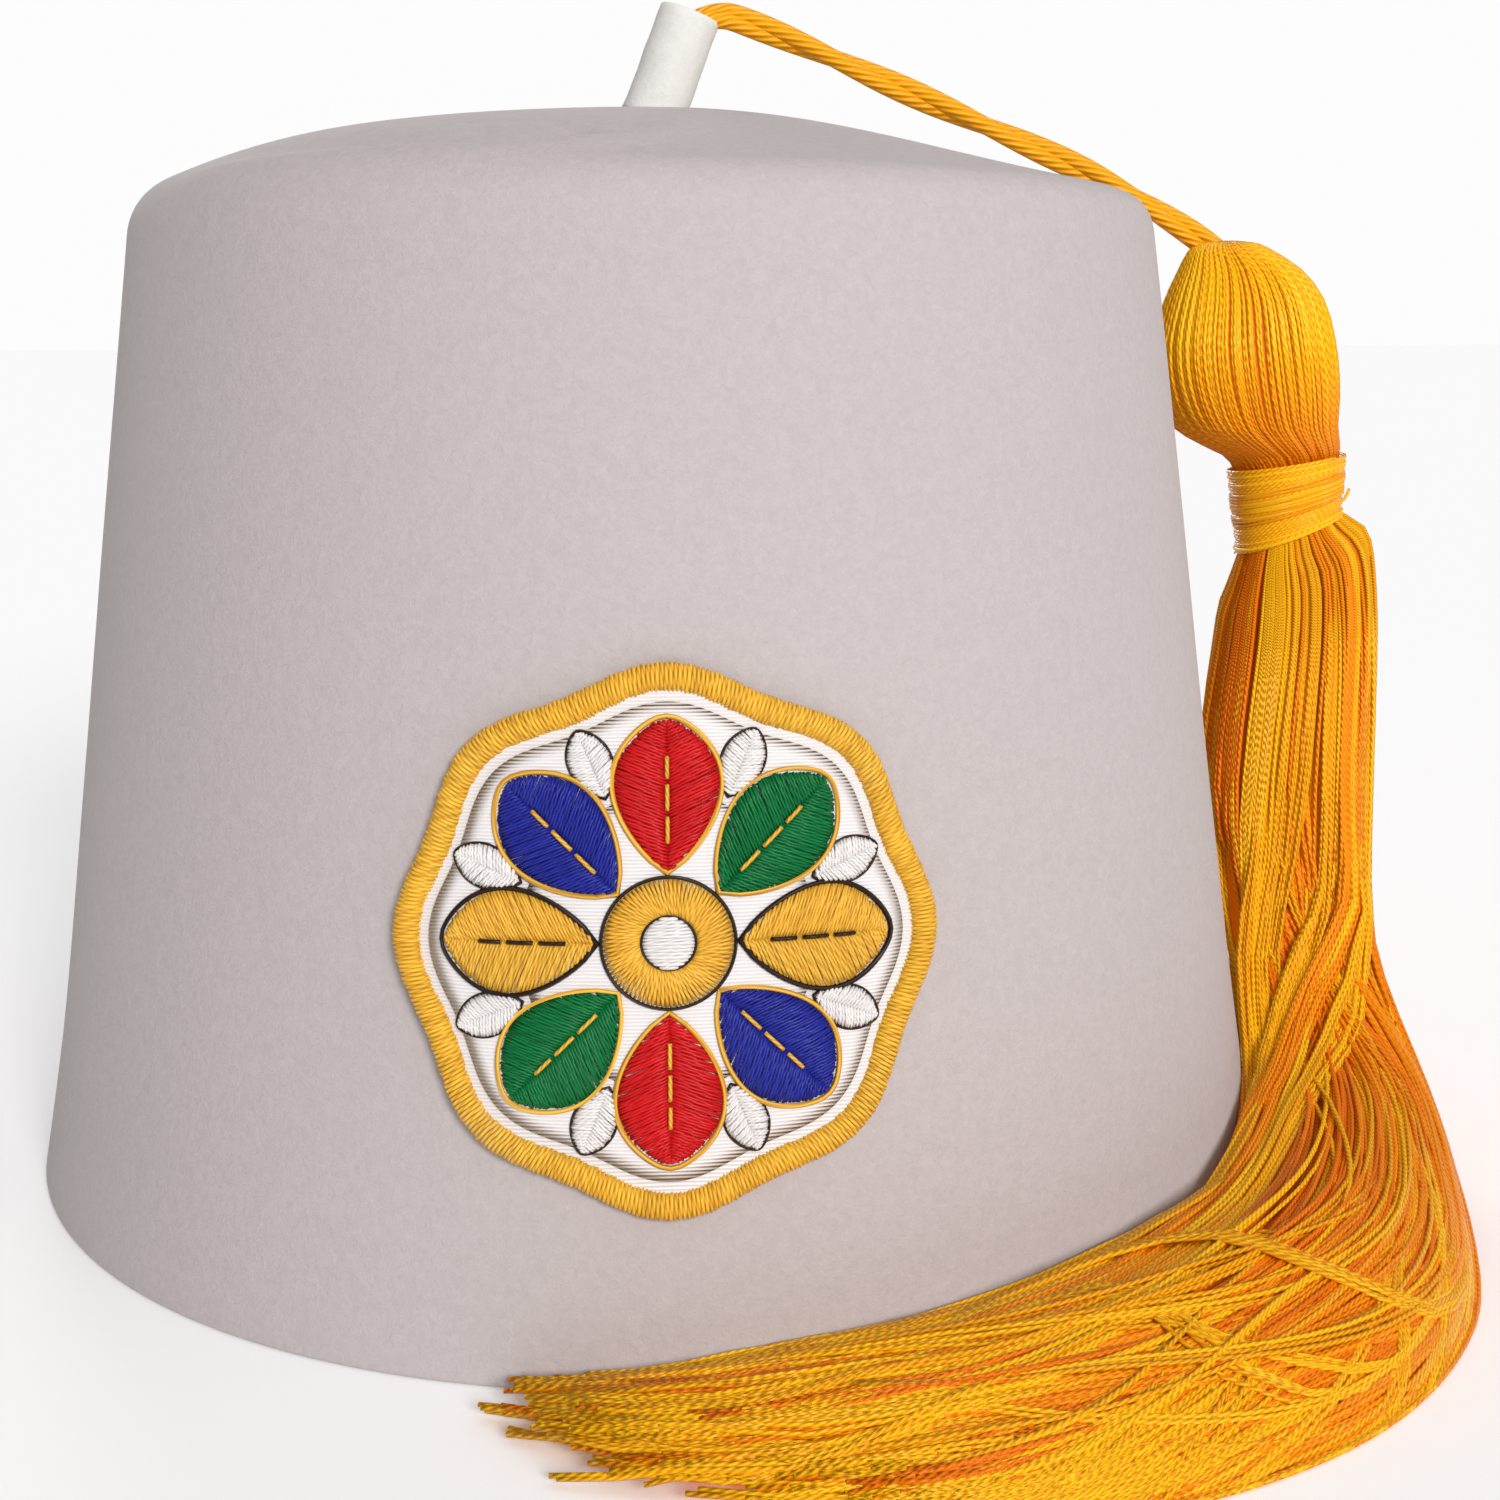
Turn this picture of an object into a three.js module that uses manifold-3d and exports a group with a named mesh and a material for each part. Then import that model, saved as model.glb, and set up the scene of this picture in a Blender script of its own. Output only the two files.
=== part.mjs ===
// A felt fez: an oval crown with a domed top, a felt stem, a gold cord and tassel, and an
// embroidered rosette on the front. Millimetres, +Z up, the front faces -Y, the rim stands on Z = 0.
import * as THREE from "three";
import { mergeVertices } from "three/addons/utils/BufferGeometryUtils.js";
import Module from "manifold-3d";

// Crown: an oval felt cup, open below
const baseHalfWidth = 92;
const topHalfWidth = 73.6;
const ovalRatio = 1.07;
const crownHeight = 139.6;
const feltThickness = 2.5;
const topEdgeRadius = 5;
const rimEdgeRadius = 0.8;
const rimFlare = 1;
const rimFlareHeight = 40;
const domeRise = 14.4;
const domeExponent = 1.75;
const domeLean = 6.4;

// Stem: a leaning stalk of rolled felt on the top
const stemFootSide = 1.4;
const stemTilt = 22.5;
const stemLength = 14.7;
const stemFootRadius = 4.6;
const stemTopRadius = 4.25;

// Rosette: an embroidered patch on the front wall
const patchSide = 2.5;
const patchHeight = 52;
const patchRadius = 32;
const patchLobes = 8;
const patchLobeDepth = 1.8;
const patchThickness = 1.2;
const petalRelief = 0.5;
const borderRadius = 1.5;

// Cord and tassel
const cordRadius = 1.8;
const neckHeight = 89.5;
const neckRadius = 7.4;
const wrapHeight = 12;
const wrapThickness = 1.05;
const wrapTurns = 6;
const headHeight = 33.5;
const headHalfWidth = 14;
const headHalfDepth = 13;
const headLean = 8;
const hangOut = 8;
const skirtHalfWidth = 13;
const poolHalfWidth = 20;
const poolHalfHeight = 7;
const lockCount = 14;
const lockRadius = 3.4;

// Clearance between pieces that touch, and under what lies on the floor
const gap = 0.3;

// Facets
const crownSegments = 52;
const patchSegments = 48;
const borderSegments = 64;
const roundSides = 16;
const cordSides = 8;
const cordStep = 7.5;

// Shallow swells and dents of the top. side and front are shares of the top's half width from
// its centre, reach is a share of the same, lift is a share of the dome's rise.
const topDents = [
  { side: -0.3, front: 0.16, reach: 0.42, lift: -0.18 },
  { side: 0.36, front: 0.42, reach: 0.36, lift: 0.07 },
  { side: -0.12, front: 0.02, reach: 0.12, lift: -0.04 },
];

// The tassel's head from its top down. rise is a share of the head's height, wide of its half
// width, lean of its lean towards the crown.
const headRows = [
  { rise: 1.0, wide: 0.12, lean: 1.4 },
  { rise: 0.955, wide: 0.43, lean: 1.36 },
  { rise: 0.86, wide: 0.67, lean: 1.15 },
  { rise: 0.72, wide: 0.87, lean: 1.05 },
  { rise: 0.52, wide: 1.0, lean: 1.03 },
  { rise: 0.32, wide: 1.0, lean: 0.93 },
  { rise: 0.17, wide: 0.9, lean: 0.76 },
  { rise: 0.07, wide: 0.74, lean: 0.42 },
];

// The hanging skirt. height is a share of the neck's height, out of the hanging distance, turn is
// in degrees from the right side towards the front, wide and thick are shares of the half width.
const hangRows = [
  { height: 0.992, out: 0.83, turn: -2.3, wide: 0.62, thick: 0.62 },
  { height: 0.9, out: 0.85, turn: -2.3, wide: 0.9, thick: 0.85 },
  { height: 0.71, out: 0.97, turn: -2, wide: 0.98, thick: 0.88 },
  { height: 0.53, out: 0.95, turn: -1.4, wide: 1.0, thick: 0.85 },
  { height: 0.37, out: 0.95, turn: 0, wide: 1.0, thick: 0.76 },
  { height: 0.23, out: 1.0, turn: 5, wide: 1.0, thick: 0.7 },
];

// The skirt's end, lying on the floor round the front of the rim. out and wide are shares of the
// pool's half width, height and thick of its half height.
const poolRows = [
  { height: 1.6, out: 0.57, turn: 14.5, wide: 0.7, thick: 1.05 },
  { height: 1.22, out: 0.77, turn: 27, wide: 0.77, thick: 1.0 },
  { height: 1.07, out: 0.97, turn: 40.5, wide: 0.9, thick: 0.95 },
  { height: 0.96, out: 1.04, turn: 54.5, wide: 1.0, thick: 0.86 },
  { height: 0.8, out: 0.98, turn: 68.5, wide: 0.95, thick: 0.72 },
  { height: 0.62, out: 0.73, turn: 82, wide: 0.7, thick: 0.52 },
  { height: 0.44, out: 0.57, turn: 92, wide: 0.47, thick: 0.36 },
  { height: 0.3, out: 0.35, turn: 99.5, wide: 0.2, thick: 0.23 },
];

// The cord's route from inside the stem's top, over the edge of the crown, into the head
const cordRoute = [
  [5.9, 0, 164.9],
  [8.6, 0, 166],
  [11.3, 0.1, 166.45],
  [14.2, 0.35, 165.95],
  [23.3, 1.2, 162.6],
  [35.3, 2.2, 157.7],
  [47.4, 3.2, 152.7],
  [59.8, 4.2, 147.6],
  [68.2, 4.8, 143.9],
  [75.7, 5.2, 140],
  [82.5, 5.1, 135.9],
  [86.6, 4.6, 132.9],
];

const cordCurve = new THREE.CatmullRomCurve3(cordRoute.map((p) => new THREE.Vector3(...p)));
const rad = THREE.MathUtils.degToRad;

const wasm = await Module();
wasm.setup();

// Half width of the crown's outer wall at a height
function wallHalfWidth(z) {
  const taper = THREE.MathUtils.lerp(baseHalfWidth, topHalfWidth, z / crownHeight);
  const foot = Math.max(0, 1 - z / rimFlareHeight);
  return taper + rimFlare * foot * foot;
}

// Outward direction of the wall at a turn from the right side towards the front, level
function levelNormal(turn) {
  return new THREE.Vector3(Math.cos(turn), -Math.sin(turn) / ovalRatio, 0).normalize();
}

// Point on the outer wall at a turn and a height
function wallPoint(turn, z) {
  const half = wallHalfWidth(z);
  return new THREE.Vector3(half * Math.cos(turn), -half * ovalRatio * Math.sin(turn), z);
}

// Outward direction of the sloping wall
function wallNormal(turn, z) {
  const step = 0.5;
  const slope = (wallHalfWidth(z + step) - wallHalfWidth(z - step)) / (2 * step);
  const normal = levelNormal(turn);
  normal.z = -slope;
  return normal.normalize();
}

// The point moved level away from the crown until it lies clear of the wall
function clearOfWall(point, clearance) {
  const half = wallHalfWidth(Math.max(0, point.z));
  const reach = Math.hypot(point.x, point.y);
  const share = Math.hypot(point.x / half, point.y / (half * ovalRatio));
  const least = reach / share + clearance;
  const grow = Math.max(1, least / reach);
  return new THREE.Vector3(point.x * grow, point.y * grow, point.z);
}

// Height that the swells, dents and lean of the top add at a place
function topRelief(x, y) {
  const side = x / topHalfWidth;
  const front = -y / topHalfWidth;
  const share = Math.min(1, Math.hypot(side, front / ovalRatio));
  const fade = 1 - share * share;
  const dents = topDents.reduce((sum, dent) => {
    const away = Math.hypot(side - dent.side, front - dent.front) / dent.reach;
    return sum + dent.lift * Math.exp(-away * away);
  }, 0);
  return fade * (dents * domeRise - domeLean * side);
}

// Height of the smooth dome at a share of the way from its centre to its edge
function domeHeight(share) {
  return crownHeight + domeRise * (1 - share ** domeExponent);
}

// Height of the outer top at a place
function topHeight(x, y) {
  const share = Math.hypot(x, y / ovalRatio) / topHalfWidth;
  return domeHeight(share) + topRelief(x, y);
}

// The outer felt surface as half widths and heights, from above the rim's edge to the centre
function outerProfile() {
  const wallRows = 6;
  const cornerRows = 3;
  const domeRows = 6;
  const wallTop = crownHeight - topEdgeRadius;
  const domeStart = 1 - topEdgeRadius / topHalfWidth;
  const corner = new THREE.QuadraticBezierCurve(
    new THREE.Vector2(wallHalfWidth(wallTop), wallTop),
    new THREE.Vector2(topHalfWidth, crownHeight),
    new THREE.Vector2(domeStart * topHalfWidth, domeHeight(domeStart)),
  );
  const points = [];
  for (let i = 0; i < wallRows; i++) {
    const z = THREE.MathUtils.lerp(rimEdgeRadius, wallTop, (i / wallRows) ** 1.15);
    points.push(new THREE.Vector2(wallHalfWidth(z), z));
  }
  points.push(...corner.getPoints(cornerRows));
  for (let i = 1; i <= domeRows; i++) {
    const share = domeStart * (1 - i / domeRows);
    points.push(new THREE.Vector2(share * topHalfWidth, domeHeight(share)));
  }
  return points;
}

// The outer surface moved in by the felt's thickness, from the centre down to the rim
function innerProfile(outer) {
  const inner = outer.map((point, i) => {
    const before = outer[Math.max(0, i - 1)];
    const after = outer[Math.min(outer.length - 1, i + 1)];
    const along = after.clone().sub(before).normalize();
    const inward = i === outer.length - 1 ? new THREE.Vector2(0, -1) : new THREE.Vector2(-along.y, along.x);
    return point.clone().addScaledVector(inward, feltThickness);
  });
  inner[0].y = rimEdgeRadius;
  return inner.reverse();
}

// A rounded edge of the rim, from its side to its flat underside
function rimEdge(halfWidth, outward) {
  const rows = 3;
  return Array.from({ length: rows }, (_, i) => {
    const angle = (Math.PI / 2) * ((i + 1) / rows);
    const inset = rimEdgeRadius * (1 - Math.cos(angle));
    return new THREE.Vector2(halfWidth - outward * inset, rimEdgeRadius * (1 - Math.sin(angle)));
  });
}

function crownGeometry() {
  const outer = outerProfile();
  const inner = innerProfile(outer);
  const outerEdge = rimEdge(outer[0].x, 1).reverse();
  const innerEdge = rimEdge(inner[inner.length - 1].x, -1);
  const profile = [...outerEdge, ...outer, ...inner, ...innerEdge, outerEdge[0].clone()];
  const geometry = new THREE.LatheGeometry(profile, crownSegments).rotateX(Math.PI / 2);
  const place = geometry.attributes.position;
  for (let i = 0; i < place.count; i++) {
    const x = place.getX(i);
    const y = place.getY(i) * ovalRatio;
    const onTop = THREE.MathUtils.smoothstep(place.getZ(i), crownHeight - topEdgeRadius, crownHeight);
    place.setXYZ(i, x, y, place.getZ(i) + onTop * topRelief(x, y));
  }
  return closed(geometry);
}

// A geometry with only its places, its shared vertices merged and its faces pointing out
function closed(geometry) {
  geometry.deleteAttribute("normal");
  geometry.deleteAttribute("uv");
  const merged = mergeVertices(geometry, 1e-4);
  const faces = Array.from(merged.index.array);
  const kept = [];
  for (let i = 0; i < faces.length; i += 3) {
    const [a, b, c] = faces.slice(i, i + 3);
    if (a !== b && b !== c && c !== a) {
      kept.push(a, b, c);
    }
  }
  merged.setIndex(volume(merged, kept) < 0 ? kept.reverse() : kept);
  return merged;
}

// Signed volume inside the faces of a geometry
function volume(geometry, faces) {
  const place = geometry.attributes.position;
  const corner = (i) => new THREE.Vector3().fromBufferAttribute(place, faces[i]);
  let sum = 0;
  for (let i = 0; i < faces.length; i += 3) {
    sum += corner(i).dot(corner(i + 1).cross(corner(i + 2))) / 6;
  }
  return sum;
}

// A closed body through rings of points, its ends closed to their middles, or joined in a loop
function loft(rings, looped = false) {
  const sides = rings[0].length;
  const points = rings.flat();
  const faces = [];
  const bands = looped ? rings.length : rings.length - 1;
  for (let r = 0; r < bands; r++) {
    const next = (r + 1) % rings.length;
    for (let s = 0; s < sides; s++) {
      const t = (s + 1) % sides;
      const [a, b] = [r * sides + s, r * sides + t];
      const [c, d] = [next * sides + s, next * sides + t];
      faces.push(a, b, c, b, d, c);
    }
  }
  if (!looped) {
    const first = points.push(middle(rings[0])) - 1;
    const last = points.push(middle(rings[rings.length - 1])) - 1;
    const start = (rings.length - 1) * sides;
    for (let s = 0; s < sides; s++) {
      const t = (s + 1) % sides;
      faces.push(first, t, s, last, start + s, start + t);
    }
  }
  const geometry = new THREE.BufferGeometry().setFromPoints(points);
  geometry.setIndex(faces);
  return closed(geometry);
}

function middle(points) {
  const sum = points.reduce((total, point) => total.add(point), new THREE.Vector3());
  return sum.divideScalar(points.length);
}

// An oval ring of points round a centre, across by wide and over by thick
function ovalRing(centre, across, over, wide, thick, sides) {
  return Array.from({ length: sides }, (_, s) => {
    const angle = (2 * Math.PI * s) / sides;
    return centre.clone()
      .addScaledVector(across, wide * Math.cos(angle))
      .addScaledVector(over, thick * Math.sin(angle));
  });
}

function toSolid(geometry) {
  return new wasm.Manifold(new wasm.Mesh({
    numProp: 3,
    vertProperties: new Float32Array(geometry.attributes.position.array),
    triVerts: new Uint32Array(geometry.index.array),
  }));
}

// The outer shell of a joined solid, without any pocket that its parts shut in
function toGeometry(solid) {
  const pieces = solid.decompose();
  const largest = pieces.reduce((best, piece) => (piece.volume() > best.volume() ? piece : best));
  const mesh = largest.getMesh();
  const geometry = new THREE.BufferGeometry();
  const places = new Float32Array(mesh.numVert * 3);
  for (let i = 0; i < mesh.numVert; i++) {
    places.set(mesh.vertProperties.subarray(i * mesh.numProp, i * mesh.numProp + 3), i * 3);
  }
  geometry.setAttribute("position", new THREE.BufferAttribute(places, 3));
  geometry.setIndex(Array.from(mesh.triVerts));
  return geometry;
}

// The cord's tube, or with a clearance the room that it needs
function cordGeometry(clearance = 0) {
  const round = new THREE.Shape().absarc(0, 0, cordRadius + clearance, 0, 2 * Math.PI);
  const steps = Math.ceil(cordCurve.getLength() / cordStep);
  return closed(new THREE.ExtrudeGeometry(round, {
    extrudePath: cordCurve,
    steps,
    bevelEnabled: false,
    curveSegments: cordSides / 2,
  }));
}

// The room at an end of the cord, a little deeper than the cord goes in
function cordSocket(share, onward) {
  const end = cordCurve.getPoint(share);
  const along = cordCurve.getTangent(share).multiplyScalar(onward);
  const deep = end.clone().addScaledVector(along, gap);
  const across = new THREE.Vector3(0, 1, 0).cross(along).normalize();
  const over = along.clone().cross(across);
  const radius = cordRadius + gap;
  return toSolid(loft([
    ovalRing(end.clone().addScaledVector(along, -gap), across, over, radius, radius, roundSides),
    ovalRing(deep, across, over, radius, radius, roundSides),
  ]));
}

function stemGeometry() {
  const axis = new THREE.Vector3(Math.sin(rad(stemTilt)), 0, Math.cos(rad(stemTilt)));
  const across = new THREE.Vector3(axis.z, 0, -axis.x);
  const over = new THREE.Vector3(0, 1, 0);
  const foot = new THREE.Vector3(stemFootSide, 0, topHeight(stemFootSide, 0));
  const top = foot.clone().addScaledVector(axis, stemLength);
  const upper = ovalRing(top, across, over, stemTopRadius, stemTopRadius, roundSides);
  const lower = ovalRing(foot, across, over, stemFootRadius, stemFootRadius, roundSides).map((point) => {
    const place = point.clone();
    place.addScaledVector(axis, (topHeight(place.x, place.y) + gap - place.z) / axis.z);
    place.z = topHeight(place.x, place.y) + gap;
    return place;
  });
  const rows = [0, 0.25, 0.5, 0.75, 1];
  const rings = rows.map((row) => lower.map((point, i) => point.clone().lerp(upper[i], row)));
  const room = toSolid(cordGeometry(gap)).add(cordSocket(0, -1));
  return toGeometry(toSolid(loft(rings)).subtract(room));
}

// Point on the patch at a distance and an angle from its centre, off the wall by height
function patchPoint(distance, angle, height) {
  const up = distance * Math.sin(angle);
  const side = patchSide + distance * Math.cos(angle);
  const z = patchHeight + up * wallNormal(Math.PI / 2, patchHeight).dot(levelNormal(Math.PI / 2));
  const turn = Math.PI / 2 - side / wallHalfWidth(z);
  return wallPoint(turn, z).addScaledVector(wallNormal(turn, z), height);
}

// The patch's scalloped edge at an angle, inside its border
function patchEdge(angle) {
  return patchRadius - patchLobeDepth * (0.5 - 0.5 * Math.cos(patchLobes * angle)) - borderRadius;
}

// Height of the embroidery above the patch's ground: a boss in the middle, and petals round it
function embroidery(share, angle) {
  const boss = 1 - THREE.MathUtils.smoothstep(share, 0.2, 0.3);
  const petal = Math.max(0, Math.cos(patchLobes * angle));
  const inner = THREE.MathUtils.smoothstep(share, 0.25, 0.4);
  const outer = 1 - THREE.MathUtils.smoothstep(share, 0.75, 0.9);
  return petalRelief * Math.max(boss, petal * inner * outer);
}

function patchGeometry() {
  const ring = (share, height) => Array.from({ length: patchSegments }, (_, s) => {
    const angle = (2 * Math.PI * s) / patchSegments;
    return patchPoint(share * (patchEdge(angle) - borderRadius - gap), angle, height(share, angle));
  });
  const under = () => gap;
  const face = (share, angle) => gap + patchThickness + embroidery(share, angle);
  const below = [0.08, 0.36, 0.68, 1].map((share) => ring(share, under));
  const above = [1, 0.88, 0.74, 0.58, 0.42, 0.3, 0.18, 0.08].map((share) => ring(share, face));
  return loft([...below, ...above]);
}

// The wound edge of the patch: a round rib that follows the scallops
function patchBorderGeometry() {
  const sides = 6;
  const rings = Array.from({ length: borderSegments }, (_, s) => {
    const angle = (2 * Math.PI * s) / borderSegments;
    return Array.from({ length: sides }, (_, k) => {
      const round = (2 * Math.PI * k) / sides;
      const distance = patchEdge(angle) + borderRadius * Math.cos(round);
      return patchPoint(distance, angle, gap + borderRadius * (1 + Math.sin(round)));
    });
  });
  return loft(rings, true);
}

// Centre of the tassel's neck at a height
function neckCentre(z) {
  const spot = hangRows[0];
  const turn = rad(spot.turn);
  return wallPoint(turn, 0).addScaledVector(levelNormal(turn), hangOut * spot.out).setZ(z);
}

function tasselHead() {
  const across = new THREE.Vector3(1, 0, 0);
  const over = new THREE.Vector3(0, 1, 0);
  const wrapTop = neckHeight + wrapHeight;
  const rings = headRows.map((row) => {
    const centre = neckCentre(wrapTop + gap + row.rise * (headHeight - gap));
    const wide = row.wide * headHalfWidth;
    centre.x = Math.max(centre.x - row.lean * headLean, wallHalfWidth(centre.z) + wide + gap);
    return ovalRing(centre, across, over, wide, row.wide * headHalfDepth, roundSides);
  });
  for (const z of [wrapTop + 2 * gap, wrapTop, neckHeight - gap, neckHeight - neckRadius]) {
    rings.push(ovalRing(neckCentre(z), across, over, neckRadius, neckRadius, roundSides));
  }
  return toSolid(loft(rings));
}

// The skirt's centre, half width and half thickness at each row, from the neck to the tips
const skirtRows = [
  ...hangRows.map((row) => ({
    turn: rad(row.turn),
    out: row.out * hangOut,
    z: row.height * neckHeight,
    wide: row.wide * skirtHalfWidth,
    thick: row.thick * skirtHalfWidth,
  })),
  ...poolRows.map((row) => ({
    turn: rad(row.turn),
    out: row.out * poolHalfWidth,
    z: row.height * poolHalfHeight + gap,
    wide: row.wide * poolHalfWidth,
    thick: row.thick * poolHalfHeight,
  })),
];
const skirtLine = new THREE.CatmullRomCurve3(skirtRows.map((row) => (
  wallPoint(row.turn, 0).addScaledVector(levelNormal(row.turn), row.out).setZ(row.z)
)));
const skirtSize = new THREE.CatmullRomCurve3(skirtRows.map((row) => (
  new THREE.Vector3(row.wide, row.thick, row.turn)
)));

// Place, directions and size of the skirt at a share of its rows
function skirtAt(share) {
  const size = skirtSize.getPoint(share);
  const along = skirtLine.getTangent(share);
  const across = levelNormal(size.z);
  across.addScaledVector(along, -across.dot(along)).normalize();
  return { centre: skirtLine.getPoint(share), across, over: along.clone().cross(across), size };
}

// A bundle of threads inside the skirt, at a place of its section, as a tapering rounded strip
function lock(side, lift, end, radius, sides, rows) {
  const rings = [];
  for (let i = 0; i <= rows; i++) {
    const share = (end * i) / rows;
    const { centre, across, over, size } = skirtAt(share);
    const point = centre.clone()
      .addScaledVector(across, side * size.x)
      .addScaledVector(over, lift * size.y);
    const tip = 1 - THREE.MathUtils.smoothstep(i / rows, 0.72, 1) * 0.7;
    const wide = radius * tip * (0.75 + (0.35 * size.x) / skirtHalfWidth);
    const thick = Math.min(radius, 0.5 * size.y) * tip;
    const low = Math.abs(over.z) * thick + Math.abs(across.z) * wide + gap;
    point.z = Math.max(point.z, low);
    const clear = clearOfWall(point, wide + gap);
    rings.push(ovalRing(clear, across, over, wide, thick, sides));
  }
  return toSolid(loft(rings));
}

// The threads' core, which the locks lie on
function skirtCore() {
  const rows = 22;
  const fill = 0.74;
  const rings = [];
  for (let i = 0; i <= rows; i++) {
    const { centre, across, over, size } = skirtAt((0.95 * i) / rows);
    const ring = ovalRing(centre, across, over, fill * size.x, fill * size.y, roundSides);
    rings.push(ring.map((point) => {
      const clear = clearOfWall(point, gap);
      clear.z = Math.max(clear.z, gap);
      return clear;
    }));
  }
  return toSolid(loft(rings));
}

function tasselGeometry() {
  const parts = [tasselHead(), skirtCore()];
  for (let i = 0; i < lockCount; i++) {
    const angle = (2 * Math.PI * (i + 0.5)) / lockCount;
    const end = 0.93 + 0.07 * Math.sin(2.4 * i + 1);
    parts.push(lock(0.7 * Math.cos(angle), 0.66 * Math.sin(angle), end, lockRadius, 7, 17));
  }
  const room = toSolid(cordGeometry(gap)).add(cordSocket(1, 1));
  return toGeometry(wasm.Manifold.union(parts).subtract(room));
}

// The thread wound round the neck, as a band with a rib for each turn
function neckWrapGeometry() {
  const inner = neckRadius + gap;
  const rib = wrapThickness * 0.3;
  const stepsPerTurn = 2;
  const steps = wrapTurns * stepsPerTurn;
  const height = wrapHeight - gap;
  const profile = [new THREE.Vector2(inner, 0)];
  for (let i = 0; i <= steps; i++) {
    const wave = Math.abs(Math.sin((Math.PI * i) / stepsPerTurn));
    profile.push(new THREE.Vector2(inner + wrapThickness - rib + rib * wave, (height * i) / steps));
  }
  profile.push(new THREE.Vector2(inner, height), new THREE.Vector2(inner, 0));
  return closed(new THREE.LatheGeometry(profile, roundSides).rotateX(Math.PI / 2));
}

function piece(name, geometry, color, roughness) {
  const mesh = new THREE.Mesh(geometry, new THREE.MeshStandardMaterial({ color, roughness, metalness: 0 }));
  mesh.name = name;
  return mesh;
}

const hat = new THREE.Group();
hat.add(piece("crown", crownGeometry(), 0xd8d0cd, 0.95));
hat.add(piece("stem", stemGeometry(), 0xe4e0d8, 0.95));
hat.add(piece("patch", patchGeometry(), 0xb03030, 0.6));
hat.add(piece("patch_border", patchBorderGeometry(), 0xe0b040, 0.5));
hat.add(piece("cord", cordGeometry(), 0xe8a818, 0.5));
hat.add(piece("tassel", tasselGeometry(), 0xf0a810, 0.45));
const wrap = piece("neck_wrap", neckWrapGeometry(), 0xf0a010, 0.4);
wrap.position.copy(neckCentre(neckHeight));
hat.add(wrap);

export default hat;
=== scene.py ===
import math

import bmesh
import bpy
import numpy as np
from mathutils import Matrix, Vector, noise


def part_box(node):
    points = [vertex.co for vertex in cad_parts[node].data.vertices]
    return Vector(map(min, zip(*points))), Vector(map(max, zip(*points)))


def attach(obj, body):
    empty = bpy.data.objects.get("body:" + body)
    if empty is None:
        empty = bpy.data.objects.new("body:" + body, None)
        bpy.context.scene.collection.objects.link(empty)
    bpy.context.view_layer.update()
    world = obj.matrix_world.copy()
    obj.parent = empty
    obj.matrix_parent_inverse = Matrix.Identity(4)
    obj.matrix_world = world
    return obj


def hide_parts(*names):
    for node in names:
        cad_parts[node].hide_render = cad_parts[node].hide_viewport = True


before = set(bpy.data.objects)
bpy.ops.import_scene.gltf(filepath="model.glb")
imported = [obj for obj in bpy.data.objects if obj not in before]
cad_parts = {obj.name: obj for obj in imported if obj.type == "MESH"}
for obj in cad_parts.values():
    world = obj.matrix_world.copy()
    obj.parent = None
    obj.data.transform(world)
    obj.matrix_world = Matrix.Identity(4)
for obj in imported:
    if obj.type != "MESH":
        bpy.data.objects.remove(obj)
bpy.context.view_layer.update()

bl_info = {
    "name": "Felt fez with a tassel",
    "version": (1, 0, 0),
    "blender": (4, 5, 0),
    "location": "3D View > Sidebar > Fez",
    "description": "Models a felt fez, its gold cord and tassel and its embroidered rosette",
    "category": "Add Mesh",
}

NECK_LOW, NECK_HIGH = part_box("neck_wrap")
MM = 0.001

# The cord's route from inside the stem's top, over the edge of the crown, into the tassel's head
CORD_ROUTE = [
    (0.0059, 0, 0.1649),
    (0.0086, 0, 0.166),
    (0.0113, 0.0001, 0.16645),
    (0.0142, 0.00035, 0.16595),
    (0.0233, 0.0012, 0.1626),
    (0.0353, 0.0022, 0.1577),
    (0.0474, 0.0032, 0.1527),
    (0.0598, 0.0042, 0.1476),
    (0.0682, 0.0048, 0.1439),
    (0.0757, 0.0052, 0.14),
    (0.0825, 0.0051, 0.1359),
    (0.0866, 0.0046, 0.1329),
]

# Swells and dents of the top: side, front and reach in half widths of the top, lift in dome rises
TOP_DENTS = [
    (-0.3, 0.16, 0.42, -0.18),
    (0.36, 0.42, 0.36, 0.07),
    (-0.12, 0.02, 0.12, -0.04),
]

# The tassel's head from its top down: share of its height, half width and lean
HEAD_ROWS = [
    (1.0, 0.0, 1.4),
    (0.985, 0.26, 1.39),
    (0.955, 0.43, 1.36),
    (0.86, 0.67, 1.15),
    (0.72, 0.87, 1.05),
    (0.52, 1.0, 1.03),
    (0.32, 1.0, 0.93),
    (0.17, 0.9, 0.76),
    (0.08, 0.74, 0.42),
    (0.02, 0.6, 0.18),
    (-0.1, 0.5, 0.06),
]

# The skirt from the neck to the tips: height in neck heights, how far out in hanging distances,
# turn in degrees from the right side to the front, half width and half thickness in skirt widths
HANG_ROWS = [
    (1.03, 0.84, -2.3, 0.48, 0.5),
    (0.982, 0.87, -2.3, 0.65, 0.62),
    (0.942, 0.965, -2.3, 0.84, 0.8),
    (0.89, 1.0, -2.3, 0.9, 0.86),
    (0.8, 0.99, -2.2, 0.96, 0.88),
    (0.68, 0.92, -1.9, 1.01, 0.88),
    (0.53, 0.88, -1.4, 1.03, 0.85),
    (0.37, 0.9, 0.0, 0.99, 0.78),
    (0.23, 0.9, 5.0, 0.99, 0.7),
]

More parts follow.
